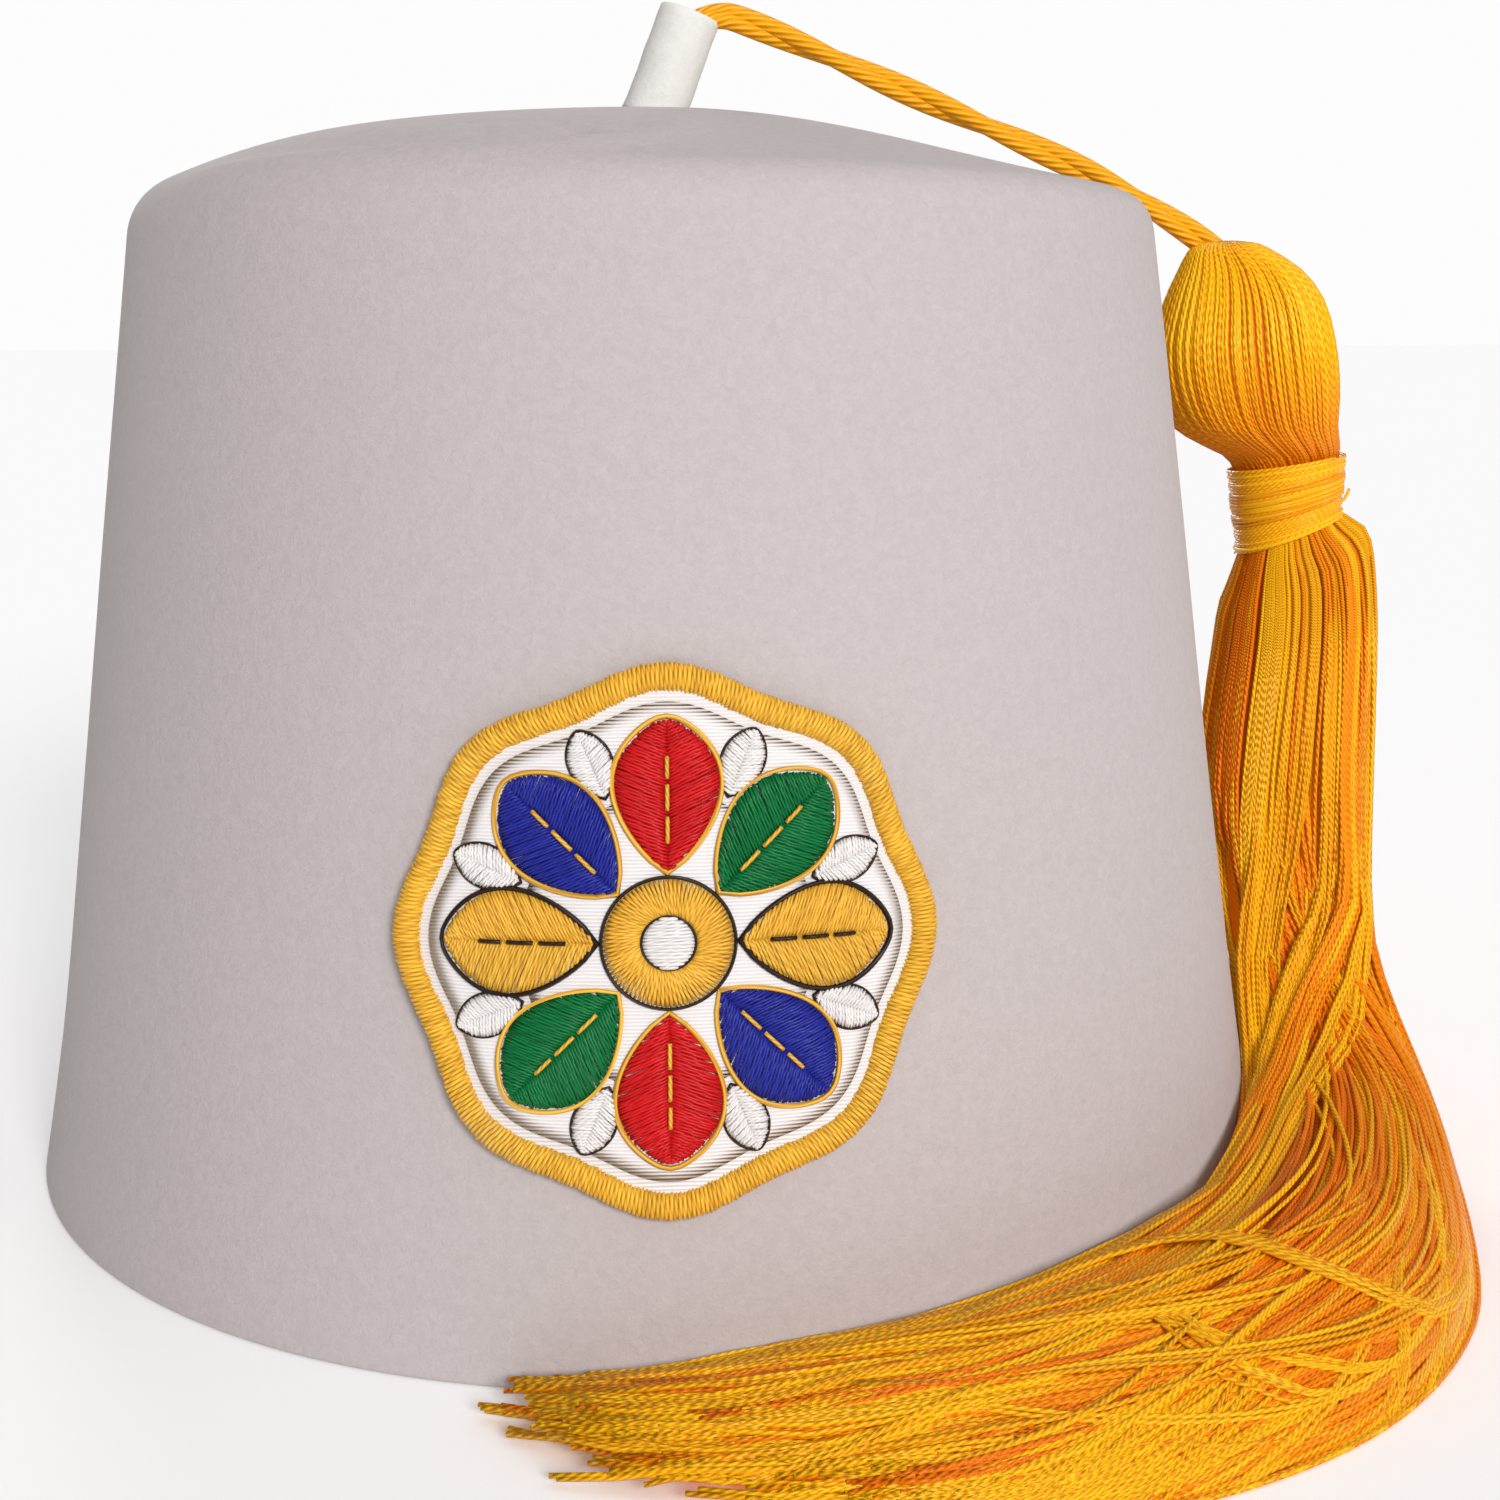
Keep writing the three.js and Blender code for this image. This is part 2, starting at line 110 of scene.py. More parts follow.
# The skirt's end on the floor: height in pool half heights, how far out in pool half widths,
# turn in degrees, half width and half thickness in pool sizes
POOL_ROWS = [
    (1.6, 0.53, 14.5, 0.7, 1.05),
    (1.22, 0.73, 27.0, 0.73, 1.0),
    (1.07, 0.96, 40.5, 0.89, 0.95),
    (0.96, 1.04, 54.5, 1.0, 0.86),
    (0.8, 0.98, 68.5, 0.95, 0.72),
    (0.62, 0.76, 82.0, 0.76, 0.52),
    (0.44, 0.6, 92.0, 0.56, 0.36),
    (0.3, 0.42, 101.8, 0.38, 0.23),
]

# Where the skirt's threads stop: side and share of the skirt's length
TIP_ENDS = [
    (-1.0, 0.985), (-0.2, 0.995), (0.2, 0.977), (0.7, 0.952), (0.8, 0.91), (0.9, 0.887), (1.05, 0.85),
]

# Locks inside the skirt: tone, number, then low and high ends of: side and lift at the neck, side
# and lift where the skirt meets the floor, side and lift at the tips, the stretch over which the
# lock moves from one to the other, and how short of the tips it stops
# The tone is painted shade: mid and deep locks take darker copies of the bright gold
LOCK_STYLES = [
    ("deep", 34, (-0.95, 0.4), (0.0, 0.88), (-0.4, 0.97), (0.45, 1.02), (-0.5, 0.8), (0.0, 0.6),
     (0.5, 0.95), (0.06, 0.14)),
    ("mid", 17, (-0.8, 0.5), (0.3, 1.0), (-0.4, 0.97), (0.6, 1.03), (-0.4, 0.9), (0.5, 0.95),
     (0.5, 0.95), (0.0, 0.05)),
    ("bright", 26, (-0.6, 0.8), (-0.6, 0.5), (-0.3, 0.8), (-0.1, 0.5), (-0.95, 0.95), (0.75, 1.06),
     (0.6, 0.92), (0.0, 0.06)),
    ("bright", 12, (-0.2, 0.8), (-0.6, 0.2), (-0.1, 0.75), (0.3, 0.75), (0.92, 1.04), (0.98, 1.08),
     (0.6, 0.82), (0.0, 0.06)),
    ("bright", 9, (-0.85, 0.1), (0.88, 1.03), (-0.95, -0.3), (0.45, 0.95), (-0.9, -0.3), (0.7, 1.0),
     (0.5, 0.95), (0.0, 0.03)),
    ("mid", 4, (-0.92, -0.8), (-0.3, 0.35), (-1.05, -0.9), (0.0, 0.7), (-0.95, -0.8), (0.3, 0.9),
     (0.5, 0.9), (0.0, 0.05)),
    ("bright", 2, (-0.92, -0.8), (-0.2, 0.4), (-1.05, -0.9), (0.1, 0.8), (-0.95, -0.8), (0.4, 0.95),
     (0.5, 0.9), (0.0, 0.05)),
    ("deep", 8, (-0.9, 0.5), (-0.5, 0.5), (-0.4, 0.9), (0.2, 0.8), (-0.6, 0.98), (0.92, 1.06),
     (0.6, 0.9), (0.02, 0.12)),
    ("mid", 10, (0.3, 0.9), (-0.9, 0.2), (0.5, 0.95), (0.0, 0.6), (0.82, 1.0), (0.2, 0.9),
     (0.5, 0.8), (0.0, 0.05)),
    ("bright", 10, (-0.9, 0.9), (-0.9, 0.0), (-0.9, 0.6), (-0.8, 0.0), (-0.9, 0.9), (-0.8, 0.3),
     (0.5, 0.95), (0.0, 0.05)),
]

# Locks that lie over the skirt: number of threads, half spread, share of strands in painted half
# shade, and the lock's places from the neck to the tips as share of the skirt's length, side and lift
TOP_LOCKS = [
    (40, 0.1, 0.3, [
        (0, 0.15, 0.9), (0.1, 0.2, 1), (0.2, 0.25, 1.03), (0.26, 0.2, 1.05), (0.31, -0.15, 1.06),
        (0.35, -0.5, 1.06), (0.41, -0.8, 1.05), (0.5, -0.93, 1.03), (0.62, -0.93, 1.02),
        (0.8, -0.88, 1), (0.98, -0.85, 0.9)]),
    (46, 0.09, 0.35, [
        (0, 0.4, 0.85), (0.1, 0.48, 0.95), (0.2, 0.52, 1.03), (0.257, 0.48, 1.06), (0.31, 0.1, 1.1),
        (0.345, -0.28, 1.1), (0.405, -0.62, 1.1), (0.46, -0.85, 1.06), (0.55, -0.88, 1.04),
        (0.7, -0.72, 1.03), (0.85, -0.6, 1), (0.98, -0.5, 0.9)]),
    (46, 0.09, 0.35, [
        (0, 0.62, 0.6), (0.1, 0.72, 0.75), (0.2, 0.72, 0.95), (0.257, 0.65, 1.04), (0.31, 0.35, 1.1),
        (0.347, -0.05, 1.14), (0.403, -0.45, 1.12), (0.46, -0.75, 1.08), (0.54, -0.78, 1.06),
        (0.64, -0.62, 1.05), (0.72, -0.45, 1.04), (0.85, -0.25, 1), (0.98, -0.1, 0.9)]),
    (40, 0.08, 0.35, [
        (0, 0.85, 0.2), (0.1, 0.92, 0.35), (0.2, 0.9, 0.55), (0.27, 0.72, 0.9), (0.33, 0.35, 1.03),
        (0.38, -0.08, 1.06), (0.45, -0.55, 1.05), (0.53, -0.68, 1.04), (0.62, -0.45, 1.04),
        (0.72, -0.15, 1.03), (0.85, 0.15, 1), (0.96, 0.3, 0.9)]),
    (8, 0.028, 0.0, [
        (0, 0.5, -0.5), (0.2, 0.8, -0.3), (0.4, 0.95, 0.2), (0.5, 0.9, 0.7), (0.565, 0.86, 1),
        (0.592, 0.83, 1.08), (0.613, 0.69, 1.12), (0.627, 0.45, 1.14), (0.637, 0.15, 1.14),
        (0.638, -0.2, 1.14), (0.64, -0.5, 1.13), (0.66, -0.75, 1.1), (0.72, -0.85, 1.08),
        (0.85, -0.8, 1.03), (0.98, -0.75, 0.9)]),
    (5, 0.025, 0.0, [
        (0, 0.3, -0.5), (0.2, 0.6, -0.3), (0.4, 0.9, 0.2), (0.55, 0.9, 0.8), (0.6, 0.86, 1),
        (0.625, 0.78, 1.08), (0.64, 0.6, 1.1), (0.655, 0.4, 1.12), (0.662, 0.15, 1.12),
        (0.66, -0.17, 1.12), (0.66, -0.5, 1.1), (0.685, -0.72, 1.08), (0.76, -0.75, 1.05),
        (0.88, -0.7, 1), (0.97, -0.65, 0.9)]),
    (6, 0.03, 0.0, [
        (0, 0.1, -0.6), (0.3, 0.5, -0.2), (0.5, 0.8, 0.4), (0.6, 0.9, 0.9), (0.64, 0.88, 1.03),
        (0.66, 0.75, 1.08), (0.68, 0.58, 1.1), (0.697, 0.35, 1.12), (0.705, 0.08, 1.12),
        (0.71, -0.3, 1.12), (0.725, -0.6, 1.1), (0.78, -0.7, 1.06), (0.88, -0.5, 1.02),
        (0.97, -0.4, 0.9)]),
    (6, 0.03, 0.0, [
        (0, 0.8, -0.5), (0.3, 0.9, 0), (0.5, 0.95, 0.4), (0.6, 0.97, 0.85), (0.66, 0.93, 1),
        (0.69, 0.83, 1.08), (0.705, 0.65, 1.12), (0.71, 0.4, 1.13), (0.708, 0.15, 1.14),
        (0.706, -0.15, 1.14), (0.71, -0.42, 1.12), (0.735, -0.62, 1.1), (0.79, -0.6, 1.06),
        (0.88, -0.62, 1), (0.97, -0.6, 0.9)]),
    (5, 0.025, 0.0, [
        (0, 0.6, -0.4), (0.3, 0.7, 0.2), (0.5, 0.55, 0.8), (0.58, 0.55, 1), (0.62, 0.58, 1.08),
        (0.64, 0.7, 1.1), (0.66, 0.88, 1.08), (0.68, 0.98, 1.04), (0.71, 1.02, 0.98),
        (0.76, 1.04, 0.85), (0.82, 1.04, 0.6)]),
    (26, 0.05, 0.25, [
        (0, 0.98, -0.2), (0.1, 1, 0), (0.2, 0.95, 0.2), (0.28, 0.85, 0.7), (0.323, 0.85, 0.8),
        (0.367, 0.86, 0.85), (0.44, 0.88, 0.9), (0.483, 0.92, 0.92), (0.53, 0.95, 0.92),
        (0.577, 0.97, 0.92), (0.62, 0.99, 0.92), (0.655, 1, 0.92), (0.69, 1.01, 0.9),
        (0.75, 1.03, 0.8), (0.85, 1.04, 0.6)]),
]

# Shares of the skirt's length over which its threads loosen and over which their ends fray
LOOSENING = (0.12, 0.45)
FRAYING = (0.7, 0.95)

# Points along each thread of the inner locks and of the strands that lie over them
INNER_STEPS = 36
OVER_STEPS = 46

# Room between a thread and the felt, and between a thread and the floor
WALL_CLEARANCE = 0.08 * MM
FLOOR_CLEARANCE = 0.05 * MM

# The rosette's petals and leaves: inner end, outer end and greatest half width, of the stitches and
# of the thread laid round them. The boss in its middle runs from an inner to an outer radius.
PETAL = (8.4 * MM, 25.4 * MM, 5.9 * MM)
PETAL_EDGE = (8.0 * MM, 26.0 * MM, 6.2 * MM)
PETAL_VEIN = [(11.5, 14.5), (15.2, 18.2), (18.9, 21.4)]
LEAF = (18.2 * MM, 26.0 * MM, 2.3 * MM)
LEAF_EDGE = (17.9 * MM, 26.3 * MM, 2.5 * MM)
BOSS_INNER = 3.1 * MM
BOSS_OUTER = 7.3 * MM
STITCH_SLANT = 0.45

# Colour of each stitching thread and of the painted shade in the grooves of its twist
STITCH_COLOURS = {
    "red": ((0.62, 0.014, 0.016), (0.30, 0.004, 0.006)),
    "blue": ((0.022, 0.03, 0.30), (0.008, 0.010, 0.12)),
    "green": ((0.005, 0.17, 0.045), (0.002, 0.07, 0.02)),
    "gold": ((0.82, 0.47, 0.055), (0.42, 0.20, 0.02)),
    "dark": ((0.030, 0.016, 0.010), (0.012, 0.006, 0.004)),
    "white": ((0.78, 0.76, 0.74), (0.55, 0.53, 0.52)),
}

# The lights: name, direction in which it shines, strength and tint
FAR_LIGHTS = [
    ("front_light", (-0.34, 1.05, -0.46), 2.7, (1.0, 0.965, 0.97)),
    ("back_light", (0.25, -1.0, -0.28), 1.0, (1, 1, 1)),
]

# The fold pressed into the front of the top: level and forward places along it, in metres
FOLD_ROUTE = [
    (-0.056, -0.044),
    (-0.048, -0.053),
    (-0.0374, -0.0605),
    (-0.0206, -0.0683),
    (-0.0069, -0.068),
    (0.0013, -0.0618),
    (0.0053, -0.0504),
    (0.006, -0.036),
]


def size_property(name, description, metres):
    """A length, in metres."""
    return bpy.props.FloatProperty(name=name, description=description, default=metres, unit="LENGTH")


def count_property(name, description, number):
    """A whole number."""
    return bpy.props.IntProperty(name=name, description=description, default=number)


def colour_property(name, description, linear):
    """A colour, in linear red, green and blue."""
    return bpy.props.FloatVectorProperty(
        name=name, description=description, default=linear, subtype="COLOR")


class FezCrownSizes(bpy.types.PropertyGroup):
    """Sizes of the felt crown and its stem."""

    base_half_width: size_property("Base half width", "Half width of the crown at the floor", 0.092)
    top_half_width: size_property(
        "Top half width", "Half width of the crown at the edge of its top", 0.0736)
    oval: bpy.props.FloatProperty(
        name="Oval", description="Depth of the crown over its width", default=1.07)
    height: size_property("Height", "Height of the edge of the top", 0.1396)
    felt: size_property("Felt", "Thickness of the felt", 0.0025)
    edge_radius: size_property("Edge", "Size of the rounded edge of the top", 0.005)
    rim_radius: size_property("Rim edge", "Rounding of the rim's cut edge", 0.0008)
    flare: size_property("Flare", "How far the rim spreads", 0.001)
    flare_height: size_property("Flare height", "Height over which the rim spreads", 0.04)
    dome_rise: size_property("Dome rise", "Height of the dome above its edge", 0.0144)
    dome_fullness: bpy.props.FloatProperty(
        name="Dome fullness", description="How full the dome is between its middle and its edge",
        default=1.75)
    dome_lean: size_property("Dome lean", "How much fuller the left of the dome is", 0.0064)
    stem_side: size_property("Stem place", "Distance of the stem's foot from the middle", 0.0014)
    stem_tilt: bpy.props.FloatProperty(
        name="Stem tilt", description="Lean of the stem to the right",
        default=math.radians(21.0), subtype="ANGLE")
    stem_length: size_property("Stem length", "Length of the stem above the dome", 0.0154)
    stem_foot: size_property("Stem foot", "Radius of the stem's foot", 0.0046)
    stem_top: size_property("Stem top", "Radius of the stem's top", 0.0045)


class FezTasselSizes(bpy.types.PropertyGroup):
    """Sizes of the cord and the tassel."""

    cord_radius: size_property("Cord radius", "Outer radius of the twisted cord", 0.002)
    cord_pitch: size_property("Cord pitch", "Length of one full turn of the cord's strands", 0.05)
    neck_height: size_property("Neck height", "Height of the neck's lower end", NECK_LOW.z)
    wrap_height: size_property(
        "Wrap height", "Height of the wound thread on the neck", NECK_HIGH.z - NECK_LOW.z)
    neck_radius: size_property("Neck radius", "Radius of the bundle under the wound thread", 0.0074)
    head_height: size_property("Head height", "Height of the head above the wound thread", 0.0335)
    head_half_width: size_property(
        "Head half width", "Half width of the head, seen from the front", 0.0138)
    head_half_depth: size_property("Head half depth", "Half depth of the head, front to back", 0.013)
    head_lean: size_property("Head lean", "How far the head leans to the crown", 0.008)
    hang_out: size_property("Hang out", "Distance of the hanging skirt from the crown's foot", 0.008)
    skirt_half_width: size_property("Skirt half width", "Half width of the hanging skirt", 0.013)
    pool_half_width: size_property(
        "Pool half width", "Half width of the skirt where it lies on the floor", 0.02)
    pool_half_height: size_property(
        "Pool half height", "Half height of the skirt where it lies on the floor", 0.007)
    thread_radius: size_property("Thread radius", "Radius of one thread of the skirt", 0.00034)
    skirt_threads: count_property("Skirt threads", "Number of threads in the skirt's inner locks", 1460)
    strand_threads: count_property("Strand threads", "Number of threads in a strand over the skirt", 7)
    loose_bundles: count_property(
        "Loose bundles", "Number of small bundles that stray over the skirt", 18)
    head_threads: count_property("Head threads", "Number of threads round the head", 230)


class FezPatchSizes(bpy.types.PropertyGroup):
    """Sizes of the embroidered rosette."""

    side: size_property("Side", "Distance of the patch's middle from the front line", 0.0025)
    height: size_property("Height", "Height of the patch's middle", 0.052)
    radius: size_property("Radius", "Radius at the lobes' tips", 0.032)
    lobes: count_property("Lobes", "Number of lobes", 8)
    lobe_depth: size_property("Lobe depth", "Depth of the scallops", 0.0018)
    border: size_property("Border", "Radius of the wound border", 0.0015)
    ground: size_property("Ground", "Height of the ground above the felt", 0.0015)


class FezColours(bpy.types.PropertyGroup):
    """Colours of the felt, the threads and the floor."""

    felt: colour_property("Felt", "Colour of the felt", (0.495, 0.452, 0.447))
    # Painted shade: the felt darkens to this in the low places of its fibre relief, and in its soft
    # random mottle
    felt_shade: colour_property("Felt shade", "Colour between the felt's fibres", (0.374, 0.343, 0.339))
    stem: colour_property("Stem", "Colour of the stem's felt", (0.79, 0.785, 0.745))
    gold: colour_property("Gold", "Colour of the tassel's threads", (0.94, 0.53, 0.006))
    # Painted shade: the next two are darker copies of the gold, half and deep, for threads in shade and
    # for the shaded cores; the cord's colour lies half way to the first
    half_shaded_gold: colour_property("Warm gold", "Colour of the threads further in", (0.93, 0.33, 0.003))
    deep_shaded_gold: colour_property("Deep gold", "Colour of the innermost threads", (0.84, 0.2, 0.0015))
    # Painted shade: the next three are what threads darken to in their twist's grooves; the threads'
    # own random tone also leans toward them
    shade_gold: colour_property(
        "Shade gold", "Colour between the twists of the innermost threads", (0.62, 0.13, 0.001))
    olive_gold: colour_property(
        "Olive gold", "Colour between the twists of the brightest threads", (0.62, 0.2, 0.002))
    head_gold: colour_property(
        "Head gold", "Colour of the threads on the head and the neck", (1.0, 0.6, 0.008))
    # Painted shade: the head's threads also darken to this low down, towards the neck
    head_shade: colour_property(
        "Head shade", "Colour of the head's threads low down and between twists", (0.7, 0.19, 0.0015))
    floor: colour_property("Floor", "Colour of the floor", (0.97, 0.97, 0.97))


def crown_sizes():
    return bpy.context.scene.fez_crown


def tassel_sizes():
    return bpy.context.scene.fez_tassel


def patch_sizes():
    return bpy.context.scene.fez_patch


def colours():
    return bpy.context.scene.fez_colours


def smoothstep(value, low, high):
    share = np.clip((value - low) / (high - low), 0.0, 1.0)
    return share * share * (3 - 2 * share)


def through_rows(rows, share):
    """Values at a share of the way through a table's rows, by a smooth curve through them."""
    rows = np.asarray(rows, float)
    place = np.clip(share, 0, 1) * (len(rows) - 1)
    index = np.minimum(place.astype(int), len(rows) - 2)
    step = (place - index)[..., None]
    before = rows[np.maximum(index - 1, 0)]
    here, after = rows[index], rows[index + 1]
    beyond = rows[np.minimum(index + 2, len(rows) - 1)]
    return 0.5 * (
        2 * here + (after - before) * step
        + (2 * before - 5 * here + 4 * after - beyond) * step ** 2
        + (3 * here - before - 3 * after + beyond) * step ** 3
    )


def unit(vectors):
    return vectors / np.linalg.norm(vectors, axis=-1, keepdims=True)


def wall_half_width(z):
    """Half width of the crown's outer wall at a height."""
    s = crown_sizes()
    taper = s.base_half_width + (s.top_half_width - s.base_half_width) * z / s.height
    foot = np.clip(1 - z / s.flare_height, 0, None)
    return taper + s.flare * foot ** 2


def level_normal(turn):
    """Outward direction of the wall, level, at a turn from the right side to the front."""
    oval = crown_sizes().oval
    return unit(np.stack([np.cos(turn), -np.sin(turn) / oval, np.zeros_like(turn)], -1))


def wall_point(turn, z):
    half = wall_half_width(z)
    oval = crown_sizes().oval
    return np.stack([half * np.cos(turn), -half * oval * np.sin(turn), z], -1)


def wall_normal(turn, z):
    step = 0.5 * MM
    slope = (wall_half_width(z + step) - wall_half_width(z - step)) / (2 * step)
    normal = level_normal(turn)
    normal[..., 2] = -slope
    return unit(normal)


def clear_of_wall(points, clearance):
    """Points moved level away from the crown until they lie clear of its wall."""
    half = wall_half_width(np.maximum(points[..., 2], 0))
    reach = np.hypot(points[..., 0], points[..., 1])
    share = np.hypot(points[..., 0] / half, points[..., 1] / (half * crown_sizes().oval))
    grow = np.maximum(1, (reach / share + clearance) / reach)
    moved = points.copy()
    moved[..., 0] *= grow
    moved[..., 1] *= grow
    return moved


def top_relief(x, y):
    """Height that the lean, the swells and the dents of the top add at a place."""
    s = crown_sizes()
    side, front = x / s.top_half_width, -y / s.top_half_width
    share = min(1.0, math.hypot(side, front / s.oval))
    dents = sum(
        lift * math.exp(-(math.hypot(side - at_side, front - at_front) / reach) ** 2)
        for at_side, at_front, reach, lift in TOP_DENTS
    )
    return (1 - share * share) * (dents * s.dome_rise - s.dome_lean * side)


def dome_height(share):
    s = crown_sizes()
    return s.height + s.dome_rise * (1 - share ** s.dome_fullness)


def top_height(x, y):
    s = crown_sizes()
    return dome_height(math.hypot(x, y / s.oval) / s.top_half_width) + top_relief(x, y)


def in_scene(name, data):
    """A new object in the scene for a mesh, a light or a camera."""
    thing = bpy.data.objects.new(name, data)
    bpy.context.scene.collection.objects.link(thing)
    return thing


def new_piece(name, mesh, material, slot, *nodes):
    """An object for a mesh, riding on the body, that stands for the named nodes."""
    piece = in_scene(name, mesh)
    mesh.materials.append(material)
    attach(piece, "root")
    if nodes:
        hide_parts(*nodes)
    return piece


def mesh_from(bm, name, weld=1e-7):
    """A smooth mesh from a bmesh, its doubles merged and its faces pointing out."""
    bmesh.ops.remove_doubles(bm, verts=bm.verts, dist=weld)
    bmesh.ops.recalc_face_normals(bm, faces=bm.faces)
    mesh = bpy.data.meshes.new(name)
    bm.to_mesh(mesh)
    bm.free()
    mesh.shade_smooth()
    return mesh


def spun_profile(profile, steps):
    """A bmesh of a profile of (radius, height) points turned round the Z axis."""
    bm = bmesh.new()
    verts = [bm.verts.new((radius, 0, height)) for radius, height in profile]
    edges = [bm.edges.new(pair) for pair in zip(verts, verts[1:])]
    bmesh.ops.spin(
        bm, geom=verts + edges, cent=(0, 0, 0), axis=(0, 0, 1), angle=2 * math.pi,
        steps=steps, use_merge=True)
    return bm


def bridged_rings(rings):
    """A bmesh of a closed body through rings of points, its two end rings filled."""
    bm = bmesh.new()
    edges = []
    for ring in rings:
        verts = [bm.verts.new(point) for point in ring]
        edges.append([bm.edges.new(pair) for pair in zip(verts, verts[1:] + verts[:1])])
    bmesh.ops.bridge_loops(bm, edges=[edge for ring in edges for edge in ring])
    bmesh.ops.contextual_create(bm, geom=edges[0])
    bmesh.ops.contextual_create(bm, geom=edges[-1])
    return bm


def threads_mesh(name, lines, sides=4):
    """One mesh of round threads along lines, each an array of rows x, y, z, radius."""
    curve = bpy.data.curves.new(name, "CURVE")
    curve.dimensions = "3D"
    curve.bevel_depth = MM
    curve.bevel_resolution = sides // 2 - 2
    curve.use_fill_caps = True
    for line in lines:
        spline = curve.splines.new("POLY")
        spline.points.add(len(line) - 1)
        places = np.ones((len(line), 4), np.float32)
        places[:, :3] = line[:, :3]
        spline.points.foreach_set("co", places.ravel())
        spline.points.foreach_set("radius", (line[:, 3] / MM).astype(np.float32))
    holder = bpy.data.objects.new(name, curve)
    mesh = bpy.data.meshes.new_from_object(holder)
    bpy.data.objects.remove(holder)
    bpy.data.curves.remove(curve)
    bm = bmesh.new()
    bm.from_mesh(mesh)
    bmesh.ops.remove_doubles(bm, verts=bm.verts, dist=1e-8)
    bm.to_mesh(mesh)
    bm.free()
    mesh.name = name
    mesh.shade_smooth()
    return mesh


def thread_line(points, radius):
    """A thread's points with its radius, one for all or one for each."""
    return np.column_stack([points, np.broadcast_to(radius, len(points))])


def travelled_along(points):
    """Distance from a line's start to each of its points."""
    return np.concatenate([[0], np.cumsum(np.linalg.norm(np.diff(points, axis=0), axis=1))])


def read_along(rows, places, at):
    """Rows that stand at places along a line, read at other places by straight steps."""
    return np.stack([np.interp(at, places, rows[:, k]) for k in range(rows.shape[1])], -1)


def new_group(name, inputs, outputs):
    """An empty shader node group with named sockets, and its input and output nodes."""
    group = bpy.data.node_groups.new(name, "ShaderNodeTree")
    for title, kind, default in inputs:
        socket = group.interface.new_socket(title, in_out="INPUT", socket_type=kind)
        socket.default_value = default
    for title, kind in outputs:
        group.interface.new_socket(title, in_out="OUTPUT", socket_type=kind)
    return group, group.nodes.new("NodeGroupInput"), group.nodes.new("NodeGroupOutput")


def math_node(tree, operation, first, second=None):
    node = tree.nodes.new("ShaderNodeMath")
    node.operation = operation
    for socket, value in zip(node.inputs, (first, second)):
        if isinstance(value, bpy.types.NodeSocket):
            tree.links.new(value, socket)
        elif value is not None:
            socket.default_value = value
    return node.outputs[0]


def noise_node(tree, vector, scale, detail=2.0, roughness=0.5, distortion=0.0):
    node = tree.nodes.new("ShaderNodeTexNoise")
    tree.links.new(vector, node.inputs["Vector"])
    if isinstance(scale, bpy.types.NodeSocket):
        tree.links.new(scale, node.inputs["Scale"])
    else:
        node.inputs["Scale"].default_value = scale
    set_inputs(node, {"Detail": detail, "Roughness": roughness, "Distortion": distortion})
    return node.outputs["Fac"]


def range_node(tree, value, from_low, from_high, to_low, to_high):
    node = tree.nodes.new("ShaderNodeMapRange")
    tree.links.new(value, node.inputs["Value"])
    set_inputs(node, {
        "From Min": from_low, "From Max": from_high, "To Min": to_low, "To Max": to_high})
    return node.outputs["Result"]


def mix_colour(tree, share, first, second):
    node = tree.nodes.new("ShaderNodeMix")
    node.data_type = "RGBA"
    for socket, value in zip((node.inputs[0], node.inputs[6], node.inputs[7]), (share, first, second)):
        if isinstance(value, bpy.types.NodeSocket):
            tree.links.new(value, socket)
        elif isinstance(value, float):
            socket.default_value = value
        else:
            socket.default_value = (*value[:3], 1.0)
    return node.outputs[2]


def felt_group():
    """Pressed wool: fine matted fibres with painted shade in their low places, over a soft mottle."""
    group, given, made = new_group(
        "pressed_wool",
        [("Vector", "NodeSocketVector", (0, 0, 0)),
         ("Colour", "NodeSocketColor", (0.7, 0.7, 0.7, 1)),
         ("Shade Colour", "NodeSocketColor", (0.5, 0.5, 0.5, 1)),
         ("Fibre Scale", "NodeSocketFloat", 1500.0),
         ("Mottle Scale", "NodeSocketFloat", 420.0),
         ("Mottle", "NodeSocketFloat", 0.3)],
        [("Colour", "NodeSocketColor"), ("Height", "NodeSocketFloat")])
    vector = given.outputs["Vector"]
    fibres = noise_node(group, vector, given.outputs["Fibre Scale"], 5.0, 0.62, 1.6)
    coarse = math_node(group, "MULTIPLY", given.outputs["Fibre Scale"], 0.55)
    tufts = noise_node(group, vector, coarse, 3.0, 0.55, 0.8)
    mottle = noise_node(group, vector, given.outputs["Mottle Scale"], 3.0, 0.5)
    fibre_height = math_node(group, "MULTIPLY", fibres, 0.6)
    tuft_height = math_node(group, "MULTIPLY", tufts, 0.7)
    height = math_node(group, "ADD", fibre_height, tuft_height)
    # Painted shade: darker where the fibre relief is low
    fine = range_node(group, height, 0.5, 0.85, 0.4, 0.0)
    patches = range_node(group, mottle, 0.3, 0.7, 1.0, 0.0)
    soft = math_node(group, "MULTIPLY", patches, given.outputs["Mottle"])
    shade = math_node(group, "ADD", fine, soft)
    colour = mix_colour(group, shade, given.outputs["Colour"], given.outputs["Shade Colour"])
    group.links.new(colour, made.inputs["Colour"])
    group.links.new(height, made.inputs["Height"])
    return group


